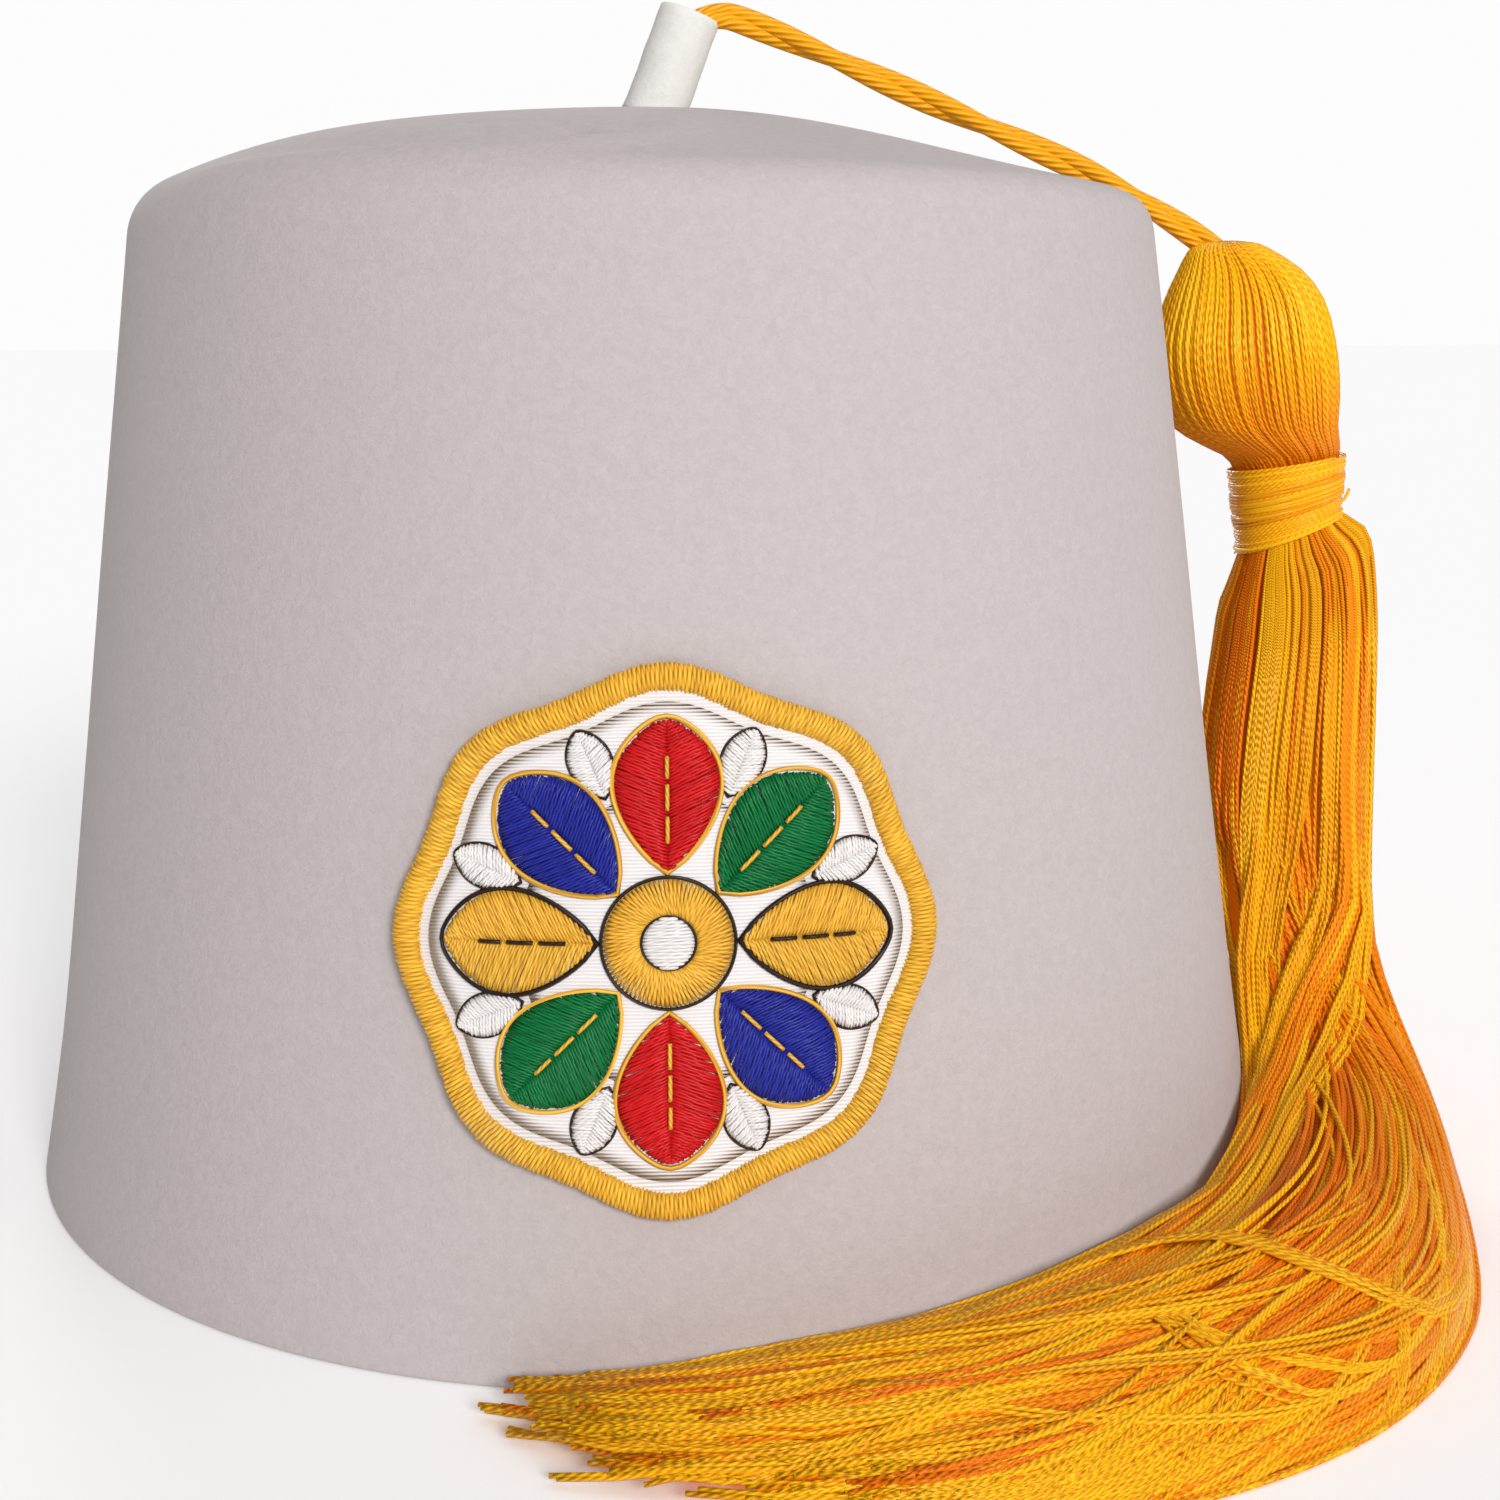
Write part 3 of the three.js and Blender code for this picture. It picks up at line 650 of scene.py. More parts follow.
def thread_group():
    """Twisted thread: slanting turns along it with painted shade in their grooves, a tone of its own
    for each thread, and painted shade towards its end as far as End Shade asks.
    """
    group, given, made = new_group(
        "twisted_thread",
        [("Along", "NodeSocketVector", (0, 0, 0)),
         ("Colour", "NodeSocketColor", (0.9, 0.5, 0.02, 1)),
         ("Shade Colour", "NodeSocketColor", (0.7, 0.25, 0.01, 1)),
         ("Turns", "NodeSocketFloat", 120.0),
         ("Starts", "NodeSocketFloat", 2.0),
         ("End Shade", "NodeSocketFloat", 0.0),
         ("Own Tone", "NodeSocketFloat", 0.0),
         ("Tone Range", "NodeSocketFloat", 0.35)],
        [("Colour", "NodeSocketColor"), ("Height", "NodeSocketFloat")])
    parts = group.nodes.new("ShaderNodeSeparateXYZ")
    group.links.new(given.outputs["Along"], parts.inputs[0])
    turns = math_node(group, "MULTIPLY", parts.outputs["X"], given.outputs["Turns"])
    round_it = math_node(group, "MULTIPLY", parts.outputs["Y"], given.outputs["Starts"])
    slant = math_node(group, "ADD", turns, round_it)
    shift = math_node(group, "MULTIPLY", given.outputs["Own Tone"], 31.7)
    slant = math_node(group, "ADD", slant, shift)
    wave = math_node(group, "SINE", math_node(group, "MULTIPLY", slant, 2 * math.pi))
    height = range_node(group, wave, -1.0, 1.0, 0.0, 1.0)
    # Painted shade: darker in the grooves between the twist's turns
    groove_shade = range_node(group, wave, -1.0, 0.3, 0.55, 0.0)
    own = math_node(group, "MULTIPLY", given.outputs["Own Tone"], given.outputs["Tone Range"])
    # Painted shade towards the thread's end, scaled by End Shade
    towards_end = range_node(group, parts.outputs["X"], 0.42, 0.8, 0.0, 1.0)
    ended = math_node(group, "MULTIPLY", towards_end, given.outputs["End Shade"])
    shade = math_node(group, "ADD", math_node(group, "ADD", groove_shade, own), ended)
    colour = mix_colour(group, shade, given.outputs["Colour"], given.outputs["Shade Colour"])
    group.links.new(colour, made.inputs["Colour"])
    group.links.new(height, made.inputs["Height"])
    return group


def shared_group(name, build):
    return bpy.data.node_groups.get(name) or build()


def blank_material(name, roughness):
    material = bpy.data.materials.new(name)
    material.use_nodes = True
    shader = material.node_tree.nodes["Principled BSDF"]
    shader.inputs["Roughness"].default_value = roughness
    return material, shader


def set_inputs(node, values):
    """Constants on a node's own sockets, by their names."""
    for title, value in values.items():
        node.inputs[title].default_value = value


def bump_into(tree, shader, height, strength, distance):
    bump = tree.nodes.new("ShaderNodeBump")
    set_inputs(bump, {"Strength": strength, "Distance": distance})
    tree.links.new(height, bump.inputs["Height"])
    tree.links.new(bump.outputs["Normal"], shader.inputs["Normal"])


def felt_material(name, colour, shade, fibre_scale=1500.0, mottle=0.08, strength=0.5):
    material, shader = blank_material(name, 0.95)
    tree = material.node_tree
    set_inputs(shader, {"Specular IOR Level": 0.2, "Sheen Weight": 0.1, "Sheen Roughness": 0.5})
    place = tree.nodes.new("ShaderNodeTexCoord")
    wool = tree.nodes.new("ShaderNodeGroup")
    wool.node_tree = shared_group("pressed_wool", felt_group)
    tree.links.new(place.outputs["Object"], wool.inputs["Vector"])
    set_inputs(wool, {
        "Colour": (*colour, 1), "Shade Colour": (*shade, 1), "Fibre Scale": fibre_scale,
        "Mottle": mottle})
    tree.links.new(wool.outputs["Colour"], shader.inputs["Base Color"])
    bump_into(tree, shader, wool.outputs["Height"], strength, 0.0003)
    return material


def thread_material(name, colour, shade, turns, tone=0.35, roughness=0.42, strength=0.6,
                    glow=0.08, starts=2.0, end_shade=0.0):
    """Silky thread; its faint glow stands for the light that passes through the silk."""
    material, shader = blank_material(name, roughness)
    tree = material.node_tree
    shine = [0.35 + 0.65 * channel for channel in colour]
    set_inputs(shader, {
        "Specular IOR Level": 0.45, "Specular Tint": (*shine, 1), "Emission Strength": glow})
    place = tree.nodes.new("ShaderNodeTexCoord")
    geometry = tree.nodes.new("ShaderNodeNewGeometry")
    thread = tree.nodes.new("ShaderNodeGroup")
    thread.node_tree = shared_group("twisted_thread", thread_group)
    tree.links.new(place.outputs["UV"], thread.inputs["Along"])
    tree.links.new(geometry.outputs["Random Per Island"], thread.inputs["Own Tone"])
    set_inputs(thread, {
        "Colour": (*colour, 1), "Shade Colour": (*shade, 1), "Turns": turns,
        "Tone Range": tone, "Starts": starts, "End Shade": end_shade})
    tree.links.new(thread.outputs["Colour"], shader.inputs["Base Color"])
    tree.links.new(thread.outputs["Colour"], shader.inputs["Emission Color"])
    bump_into(tree, shader, thread.outputs["Height"], strength, 0.0002)
    return material


def core_material(name, colour):
    """The shaded inside of a bundle of threads, seen only between them, with a painted glow."""
    material, shader = blank_material(name, 0.8)
    tree = material.node_tree
    place = tree.nodes.new("ShaderNodeTexCoord")
    grain = noise_node(tree, place.outputs["Object"], 1800.0, 3.0)
    shade = [0.6 * channel for channel in colour]
    tone = mix_colour(tree, grain, colour, shade)
    tree.links.new(tone, shader.inputs["Base Color"])
    # Painted glow: the core shines with its own colour, for light passing among the threads
    tree.links.new(tone, shader.inputs["Emission Color"])
    shader.inputs["Emission Strength"].default_value = 0.3
    bump_into(tree, shader, grain, 0.5, 0.0004)
    return material


def crown_profile():
    """The felt wall as (radius, height) points, from the outer middle of the top round to the inner."""
    s = crown_sizes()
    wall_top = s.height - s.edge_radius
    dome_start = 1 - s.edge_radius / s.top_half_width
    dome = [(share * s.top_half_width, dome_height(share)) for share in np.linspace(0, dome_start, 70)]
    corner_from = Vector(dome[-1])
    corner_over = Vector((s.top_half_width, s.height))
    corner_to = Vector((float(wall_half_width(wall_top)), wall_top))
    corner = []
    for step in np.linspace(0, 1, 14)[1:]:
        first = corner_from.lerp(corner_over, step)
        corner.append(tuple(first.lerp(corner_over.lerp(corner_to, step), step)))
    wall = [(float(wall_half_width(z)), z) for z in np.linspace(wall_top, s.rim_radius, 72)[1:]]
    outer = dome + corner + wall
    inner = []
    for i in range(0, len(outer), 3):
        before, after = Vector(outer[max(0, i - 1)]), Vector(outer[min(len(outer) - 1, i + 1)])
        along = (after - before).normalized()
        point = Vector(outer[i]) - Vector((-along.y, along.x)) * s.felt
        inner.append(point)
    inner = [Vector((max(0.0, p.x), p.y)) for p in inner]
    inner[0].x = 0.0
    inner[-1].y = s.rim_radius
    edge = []
    for radius, outward in ((outer[-1][0], 1), (inner[-1].x, -1)):
        turns = np.linspace(0, math.pi / 2, 5)[1:]
        rows = [(radius - outward * s.rim_radius * (1 - math.cos(turn)),
                 s.rim_radius * (1 - math.sin(turn))) for turn in turns]
        edge += rows if outward == 1 else rows[::-1]
    return outer + edge + [tuple(p) for p in reversed(inner)]


def build_crown():
    s = crown_sizes()
    c = colours()
    bm = spun_profile(crown_profile(), 288)
    fold_line = through_rows(FOLD_ROUTE, np.linspace(0, 1, 60))
    edge = s.height - s.edge_radius
    for vert in bm.verts:
        vert.co.y *= s.oval
        x, y, z = vert.co
        if z > edge:
            relief = top_relief(x, y) + pressed_fold(x, y, fold_line) + pucker(x, y)
            vert.co.z += float(smoothstep(z, edge, s.height)) * relief
        hand_made = 0.3 * MM * noise.noise(Vector((x, y, z)) * 28) * min(1.0, z / 0.02)
        reach = math.hypot(x, y)
        if reach > 5 * MM:
            vert.co.x += hand_made * x / reach
            vert.co.y += hand_made * y / reach
    mesh = mesh_from(bm, "felt_crown", 1e-6)
    material = felt_material("white_felt", c.felt, c.felt_shade)
    return new_piece("felt_crown", mesh, material, "felt", "crown")


def pressed_fold(x, y, line):
    """A low ridge along the fold, with a hollow behind it."""
    gaps = np.hypot(line[:, 0] - x, line[:, 1] - y)
    nearest = int(gaps.argmin())
    fade = math.sin(math.pi * (nearest + 0.5) / len(line)) ** 0.6
    along = line[min(nearest + 1, len(line) - 1)] - line[max(nearest - 1, 0)]
    behind = along[0] * (y - line[nearest, 1]) - along[1] * (x - line[nearest, 0])
    across = math.copysign(gaps[nearest], behind)
    ridge_reach = 2.4 * MM if across > 0 else 4.2 * MM
    hollow_middle, hollow_reach = 6.2 * MM, 4.0 * MM
    ridge = 1.0 * MM * math.exp(-(across / ridge_reach) ** 2)
    hollow = 0.7 * MM * math.exp(-((across - hollow_middle) / hollow_reach) ** 2)
    return fade * (ridge - hollow)


def pucker(x, y):
    """Small uneven bumps in the felt in front of the stem, inside the fold."""
    middle_x, middle_y = -0.011, -0.0565
    reach_x, reach_y = 0.014, 0.0085
    reach = math.hypot((x - middle_x) / reach_x, (y - middle_y) / reach_y)
    bumps = noise.noise(Vector((230 * x + 60 * y, 170 * y, 4.0)))
    return 1.1 * MM * math.exp(-reach ** 4) * bumps


def build_stem():
    s = crown_sizes()
    c = colours()
    sink = 1.2 * MM
    length = s.stem_length + sink
    profile = [(0.0, 0.0)]
    for share in np.linspace(0, 1, 16):
        radius = s.stem_foot + (s.stem_top - s.stem_foot) * share ** 0.8
        flare = 0.25 * MM * (1 - min(1.0, share / 0.2)) ** 2
        profile.append((radius + flare, length * share))
    top_round = 0.5 * MM
    profile[-1] = (s.stem_top, length - top_round)
    for turn in (math.pi / 6, math.pi / 3, math.pi / 2):
        inset, drop = 1 - math.cos(turn), 1 - math.sin(turn)
        profile.append((s.stem_top - top_round * inset, length - top_round * drop))
    dimple = 0.15 * MM
    profile += [(s.stem_top * share, length - dimple * (1 - share)) for share in (0.6, 0.3, 0.0)]
    bm = spun_profile(profile, 48)
    for vert in bm.verts:
        wobble = 0.12 * MM * noise.noise(vert.co * 260)
        reach = math.hypot(vert.co.x, vert.co.y)
        if reach > MM:
            vert.co.x += wobble * vert.co.x / reach
            vert.co.y += wobble * vert.co.y / reach
    foot = Vector((s.stem_side, 0, top_height(s.stem_side, 0)))
    lean = Matrix.Rotation(s.stem_tilt, 4, "Y")
    place = Matrix.Translation(foot) @ lean @ Matrix.Translation((0, 0, -sink))
    bmesh.ops.transform(bm, matrix=place, verts=bm.verts)
    mesh = mesh_from(bm, "felt_stem", 1e-6)
    # Painted shade in the stem felt's fibre hollows, and its soft mottle, darken to this
    shade = [0.8 * channel for channel in c.stem]
    material = felt_material("rolled_felt", c.stem, shade, 2200.0, 0.15, 0.45)
    return new_piece("felt_stem", mesh, material, "stem_felt", "stem")


def cord_line(count):
    """Points along the cord's route, evenly spaced."""
    fine = through_rows(CORD_ROUTE, np.linspace(0, 1, 600))
    travelled = travelled_along(fine)
    length = travelled[-1]
    return read_along(fine, travelled, np.linspace(0, length, count)), length


def build_cord(tassel_head):
    """A cord of two strands laid round each other."""
    t, c = tassel_sizes(), colours()
    strands = 2
    steps = 260
    points, length = cord_line(steps)
    along = unit(np.gradient(points, axis=0))
    across = unit(np.cross(along, (0.0, 1.0, 0.0)))
    over = np.cross(along, across)
    strand_share = 0.64
    strand_radius = strand_share * t.cord_radius
    offset = t.cord_radius - strand_radius
    lines = []
    for strand in range(strands):
        angle = 2 * math.pi * (0.3 + np.linspace(0, length, steps) / t.cord_pitch + strand / strands)
        place = points + offset * (across * np.cos(angle)[:, None] + over * np.sin(angle)[:, None])
        lines.append(thread_line(place, strand_radius))
    mesh = threads_mesh("gold_cord", lines, 12)
    gold = [(bright + warm) / 2 for bright, warm in zip(c.gold, c.half_shaded_gold)]
    material = thread_material(
        "cord_gold", gold, c.shade_gold, 36.0, 0.15, 0.4, 1.0, 0.04, starts=8.0)
    cord = new_piece("gold_cord", mesh, material, "cord_thread", "cord")
    return cord


def neck_centre(z):
    """Centre of the tassel's neck at a height."""
    t = tassel_sizes()
    turn = np.full_like(np.asarray(z, float), math.radians(HANG_ROWS[0][2]))
    base = wall_point(turn, np.zeros_like(turn)) + level_normal(turn) * t.hang_out * HANG_ROWS[0][1]
    base[..., 2] = z
    return base


def head_surface(down, angle):
    """Points of the head's surface: down runs from its top, 0, to the neck, 1."""
    t = tassel_sizes()
    rows = through_rows(HEAD_ROWS, down)
    rise, wide, lean = rows[..., 0], np.maximum(rows[..., 1], 0), rows[..., 2]
    z = t.neck_height + t.wrap_height + rise * t.head_height - 0.3 * MM
    centre = neck_centre(z)
    half = wide * t.head_half_width
    least = wall_half_width(z) + half + 0.6 * MM
    centre[..., 0] = np.maximum(centre[..., 0] - lean * t.head_lean, least)
    centre[..., 0] += half * np.cos(angle)
    centre[..., 1] += wide * t.head_half_depth * np.sin(angle)
    return centre


def build_tassel_head():
    """Threads laid side by side from the head's top over its swell down to the neck."""
    t, c = tassel_sizes(), colours()
    rng = np.random.default_rng(11)
    rings = []
    for down in np.linspace(0.05, 1, 22):
        angle = np.linspace(0, 2 * math.pi, 40, endpoint=False)
        surface = head_surface(np.full(40, down), angle)
        middle = surface.mean(axis=0)
        rings.append(middle + (surface - middle) * 0.955)
    core = mesh_from(bridged_rings(rings), "head_core")
    new_piece("head_core", core, core_material("head_shade", c.deep_shaded_gold), "tassel_thread")
    lines = []
    steps = 22
    for layer, count, lift in ((0, t.head_threads, 0.0), (1, t.head_threads // 3, 0.25 * MM)):
        for i in range(count):
            start = 2 * math.pi * (i + rng.uniform(-0.25, 0.25)) / count
            down = np.linspace(0.02 + 0.04 * rng.random(), 1.0, steps) ** 0.9
            drift = rng.uniform(-0.04, 0.04) + 0.04 * np.sin(3 * down + rng.uniform(0, 6))
            angle = start + 0.22 * down + drift * down
            surface = head_surface(down, angle)
            middle = head_surface(down, angle + math.pi)
            outward = unit(surface - (surface + middle) / 2 + 1e-9)
            girth = np.linalg.norm(surface - middle, axis=1) * math.pi
            radius = np.clip(0.75 * girth / count, 0.12 * MM, 0.4 * MM)
            radius = np.where(layer == 1, np.minimum(radius, 0.3 * MM), radius)
            lifted = surface + outward * (lift + rng.uniform(-0.08, 0.06) * MM - radius[:, None])
            lines.append(thread_line(lifted, radius))
    mesh = threads_mesh("tassel_head", lines)
    # Painted shade: the head's threads darken towards the neck and in their twist's grooves
    material = thread_material(
        "head_gold", c.head_gold, c.head_shade, 40.0, 0.3, 0.27, 0.3, 0.04, end_shade=0.8)
    return new_piece("tassel_head", mesh, material, "tassel_thread")


def wrap_place(height, angle, reach):
    """Points of the wound neck, whose turns slant and spread a little at the top."""
    t = tassel_sizes()
    share = height / t.wrap_height
    line = neck_centre(t.neck_height + height)
    line[..., 0] += reach * np.cos(angle) - 0.8 * MM * share
    line[..., 1] += reach * np.sin(angle)
    line[..., 2] += (0.4 - 0.25 * share) * reach * np.cos(angle)
    return line


def build_neck_wrap():
    """Thread wound close round the neck, turn on turn, its ends left standing out."""
    t, c = tassel_sizes(), colours()
    rng = np.random.default_rng(5)
    radius = 0.3 * MM
    spacing = 0.42 * MM
    turns = t.wrap_height / spacing
    steps = int(turns * 24)
    share = np.linspace(0, 1, steps)
    angle = 2 * math.pi * turns * share
    height = radius + (t.wrap_height - 2 * radius) * share
    spread = (0.35 + 1.0 * share ** 1.5) * MM
    uneven = 0.1 * MM * np.sin(angle / 5.3) + rng.normal(0, 0.025 * MM, steps)
    reach = t.neck_radius + spread + uneven
    lines = [thread_line(wrap_place(height, angle, reach), radius)]
    for i in range(11):
        first = int(rng.integers(10, steps - 60))
        stretch = slice(first, first + 48)
        across = np.linspace(-1, 1, 48) * rng.choice([-1, 1]) * rng.uniform(0.5, 1.3) * MM
        over = wrap_place(height[stretch] + across, angle[stretch], reach[stretch] + 0.22 * MM)
        taper = 0.27 * MM * np.sin(np.linspace(0.1, math.pi - 0.1, 48)) ** 0.3
        lines.append(thread_line(over, taper))
    for share, turn, rise in ((0.86, 0.25, 0.4), (0.22, -0.1, 1.6), (0.3, 0.35, 0.8)):
        out = np.linspace(0, 1, 8)
        end = wrap_place(
            np.full(8, share * t.wrap_height) + rise * MM * out ** 2, turn + 0.1 * out,
            t.neck_radius + (0.8 + 1.4 * out) * MM)
        lines.append(thread_line(end, 0.26 * MM))
    mesh = threads_mesh("neck_thread", lines, 6)
    material = thread_material("wrap_gold", c.head_gold, c.head_shade, 1400.0, 0.6, 0.27, 0.3, 0.04)
    return new_piece("neck_thread", mesh, material, "wrap_thread", "neck_wrap")


def skirt_rows():
    """Place and size of the skirt at each row: x, y, z, half width, half thickness, turn, lying."""
    t = tassel_sizes()
    rows = []
    for height, out, turn, wide, thick in HANG_ROWS:
        rows.append((turn, out * t.hang_out, height * t.neck_height,
                     wide * t.skirt_half_width, thick * t.skirt_half_width, 0.0))
    for i, (height, out, turn, wide, thick) in enumerate(POOL_ROWS):
        rows.append((turn, out * t.pool_half_width, height * t.pool_half_height,
                     wide * t.pool_half_width, thick * t.pool_half_height, min(1.0, 0.3 + 0.35 * i)))
    table = []
    for turn, out, z, wide, thick, lying in rows:
        angle = np.asarray(math.radians(turn))
        spot = wall_point(angle, np.asarray(0.0)) + level_normal(angle) * out
        table.append((spot[0], spot[1], z, wide, thick, float(angle), lying))
    return np.array(table)


def skirt_path():
    """The skirt's rows, finely spaced, and the share of its length at each."""
    fine = through_rows(skirt_rows(), np.linspace(0, 1, 600))
    travelled = travelled_along(fine[:, :3])
    return fine, travelled / travelled[-1]


def at_share(path, share):
    rows, shares = path
    return read_along(rows, shares, share)


def in_skirt(path, share, side, lift):
    """Points of the skirt: share runs from the neck to the tips, side and lift across its section."""
    here = at_share(path, share)
    along = unit(at_share(path, share + 0.01)[..., :3] - at_share(path, share - 0.01)[..., :3])
    across = level_normal(here[..., 5])
    across = unit(across - along * np.sum(along * across, -1, keepdims=True))
    over = np.cross(along, across)
    wide, thick, lying = here[..., 3:4], here[..., 4:5], np.clip(here[..., 6:7], 0, 1)
    bundle = here[..., :3] + across * side[..., None] * wide + over * lift[..., None] * thick
    bundle[..., 2] += 0.4 * side * wide[..., 0] * (1 - smoothstep(share, 0.0, 0.2))
    mound = here[..., :3] + across * side[..., None] * wide
    outer = np.clip((side + 0.2) / 1.2, 0, 1)
    inner = np.clip((-0.2 - side) / 0.8, 0, 1)
    crest = 2 * thick[..., 0] * (1 - outer ** 2) ** 0.6 * (1 - 0.3 * inner)
    mound[..., 2] = crest * (0.5 + 0.5 * lift)
    return bundle * (1 - lying) + mound * lying


def skirt_locks(rng):
    """Where each lock of threads runs in the skirt's section, and where it stops."""
    locks = []
    for tone, count, *ranges, stretch, short in LOCK_STYLES:
        for i in range(count):
            values = [rng.uniform(low, high) for low, high in ranges]
            end = np.interp(values[4], *zip(*TIP_ENDS)) - rng.uniform(*short)
            locks.append((tone, *values, stretch, end, rng.uniform(0, 6.3), rng.uniform(0.7, 1.3)))
    return locks


def laid_thread(path, share, side, lift, radius, steps):
    """A thread through places of the skirt, with most points where it leaves the neck."""
    inside = 1 - smoothstep(share, *LOOSENING)
    reach = np.maximum(1.0, np.hypot(side, lift * inside) / 1.03)
    side = np.clip(side / reach, -1.06, 1.04)
    lift = np.clip(lift / reach, -1.0, 1.2)
    points = clear_of_wall(in_skirt(path, share, side, lift), radius + WALL_CLEARANCE)
    points[:, 2] = np.maximum(points[:, 2], radius + FLOOR_CLEARANCE)
    travelled = travelled_along(points)
    at = travelled[-1] * np.interp(np.linspace(0, 1, steps), (0, 0.22, 1), (0, 0.09, 1))
    return thread_line(read_along(points, travelled, at), radius)


def lock_thread(rng, path, lock, radius, steps, stray=0.0, own=None):
    """One thread of an inner lock, from inside the neck to its tip."""
    side_neck, lift_neck, side_floor, lift_floor, side_tip, lift_tip = lock[1:7]
    stretch, end, phase, pace = lock[7:]
    end = end + rng.uniform(-0.03, 0.008)
    own = rng.uniform(0, 6.3) if own is None else own
    share = np.linspace(0, end, 100)
    wild = smoothstep(share, *LOOSENING)
    side = side_neck + (side_floor - side_neck) * smoothstep(share, 0.13, 0.4)
    side += (side_tip - side_floor) * smoothstep(share, *stretch)
    lift = lift_neck + (lift_floor - lift_neck) * smoothstep(share, 0.1, 0.42)
    lift += (lift_tip - lift_floor) * smoothstep(share, 0.6, 0.82)
    gathered = 1 - 0.65 * smoothstep(share, end - 0.1, end)
    room = (0.04 + 0.01 * wild) * gathered
    frayed = smoothstep(share, *FRAYING)
    spread = np.clip(rng.normal(0, 1, 2), -2, 2)
    side = side + room * spread[0] + 0.05 * wild * np.sin(9 * pace * share + phase)
    lift = lift + room * spread[1] + 0.05 * wild * np.sin(8 * pace * share + 2 * phase)
    side = side + (0.008 + 0.012 * wild) * np.sin(27 * share + own)
    lift = lift + (0.01 + 0.02 * wild) * np.sin(23 * share + 2 * own)
    side = side + stray * wild * np.sin(8 * pace * share + own)
    side = side + 0.06 * frayed * (np.sin(66 * share + 2 * own) + np.sin(38 * share + 3 * phase))
    lift = lift + 0.07 * frayed * (np.sin(58 * share + 3 * own) + np.sin(33 * share + 5 * phase))
    return laid_thread(path, share, side, lift, radius, steps)


def top_thread(rng, path, route, strand, room, radius, steps):
    """One thread of a strand that lies over the skirt."""
    across, above, late, phase = strand
    places = through_rows(route, np.linspace(0, 1, 160))
    last = places[-1, 0] + late + rng.uniform(-0.015, 0.008)
    share = places[:, 0] * last / places[-1, 0]
    gathered = 1 - 0.8 * smoothstep(share, last - 0.09, last)
    own = rng.uniform(0, 6.3)
    spread = np.clip(rng.normal(0, 1, 2), -1.7, 1.7)
    wild = smoothstep(share, 0.15, 0.45)
    side = places[:, 1] + across + room * spread[0] * gathered
    side += 0.35 * room * np.sin(17 * share + own) + 0.05 * wild * np.sin(9 * share + phase)
    lift = places[:, 2] + above + 0.8 * room * spread[1] + 0.012 * np.sin(21 * share + 2 * own)
    lift += 0.05 * wild * np.sin(12 * share + 2 * phase)
    lift += 0.14 * wild * smoothstep(-side, 0.5, 0.85) * np.sin(26 * share + 3 * phase)
    frayed = smoothstep(share, *FRAYING)
    side += frayed * (0.05 * np.sin(66 * share + 2 * own) + 0.06 * np.sin(38 * share + 4 * phase))
    lift += frayed * (0.06 * np.sin(58 * share + 3 * own) + 0.06 * np.sin(33 * share + 5 * phase))
    return laid_thread(path, share, side, lift, radius, steps)


def build_skirt():
    """The tassel's loose threads, in locks from bright gold to deep painted shade, over a shaded core.
    """
    t, c = tassel_sizes(), colours()
    rng = np.random.default_rng(23)
    path = skirt_path()
    rings = []
    angle = np.linspace(0, 2 * math.pi, 28, endpoint=False)
    core_size = 0.7
    side, lift = core_size * np.cos(angle), core_size * np.sin(angle) - 0.08
    for share in np.linspace(0.0, 0.9, 60):
        ring = clear_of_wall(in_skirt(path, np.full(28, share), side, lift), 0.8 * MM)
        ring[:, 2] = np.maximum(ring[:, 2], 0.3 * MM)
        rings.append(ring)
    core = mesh_from(bridged_rings(rings), "skirt_core")
    new_piece("skirt_core", core, core_material("skirt_shade", c.deep_shaded_gold), "tassel_thread")
    locks = skirt_locks(rng)
    lines = {"bright": [], "mid": [], "deep": [], "over": []}
    for i in range(t.skirt_threads):
        lock = locks[i % len(locks)]
        radius = t.thread_radius * rng.uniform(0.86, 1.1)
        lines[lock[0]].append(lock_thread(rng, path, lock, radius, INNER_STEPS))
    for count, spread, warm, route in TOP_LOCKS:
        strands = max(1, count // t.strand_threads)
        room = 0.026 if strands > 1 else 0.014
        for i in range(strands):
            across = 1.6 * spread * (2 * (i + 0.5) / strands - 1) if strands > 1 else 0.0
            above, late = rng.uniform(-0.13, 0.03), rng.uniform(-0.085, 0.008)
            strand = (across, above, late, rng.uniform(0, 6.3))
            # Painted shade: some strands take the darker mid tone
            tone = "mid" if rng.random() < warm else "over"
            for j in range(count // strands):
                radius = t.thread_radius * rng.uniform(0.9, 1.1)
                line = top_thread(rng, path, route, strand, room, radius, OVER_STEPS)
                lines[tone].append(line)
    for i in range(t.loose_bundles):
        lock = locks[int(rng.integers(len(locks)))]
        above = (*lock[:4], 1.0, lock[5], 1.05, *lock[7:])
        own, stray = rng.uniform(0, 6.3), rng.uniform(0.1, 0.4)
        for j in range(3):
            line = lock_thread(
                rng, path, above, t.thread_radius, OVER_STEPS, stray, own + 0.06 * j)
            lines["over"].append(line)
    # Painted shade: mid and deep are darker copies of the bright gold, and each tone darkens in its
    # twist's grooves
    tones = {
        "bright": (c.gold, c.olive_gold),
        "mid": (c.half_shaded_gold, c.shade_gold),
        "deep": (c.deep_shaded_gold, c.shade_gold),
        "over": (c.gold, c.olive_gold),
    }
    for tone, (colour, shade) in tones.items():
        mesh = threads_mesh(f"skirt_{tone}", lines[tone])
        material = thread_material(
            f"skirt_{tone}_gold", colour, shade, 220.0, 0.48, 0.36, 0.65, 0.05)
        new_piece(mesh.name, mesh, material, "tassel_thread")
    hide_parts("tassel")


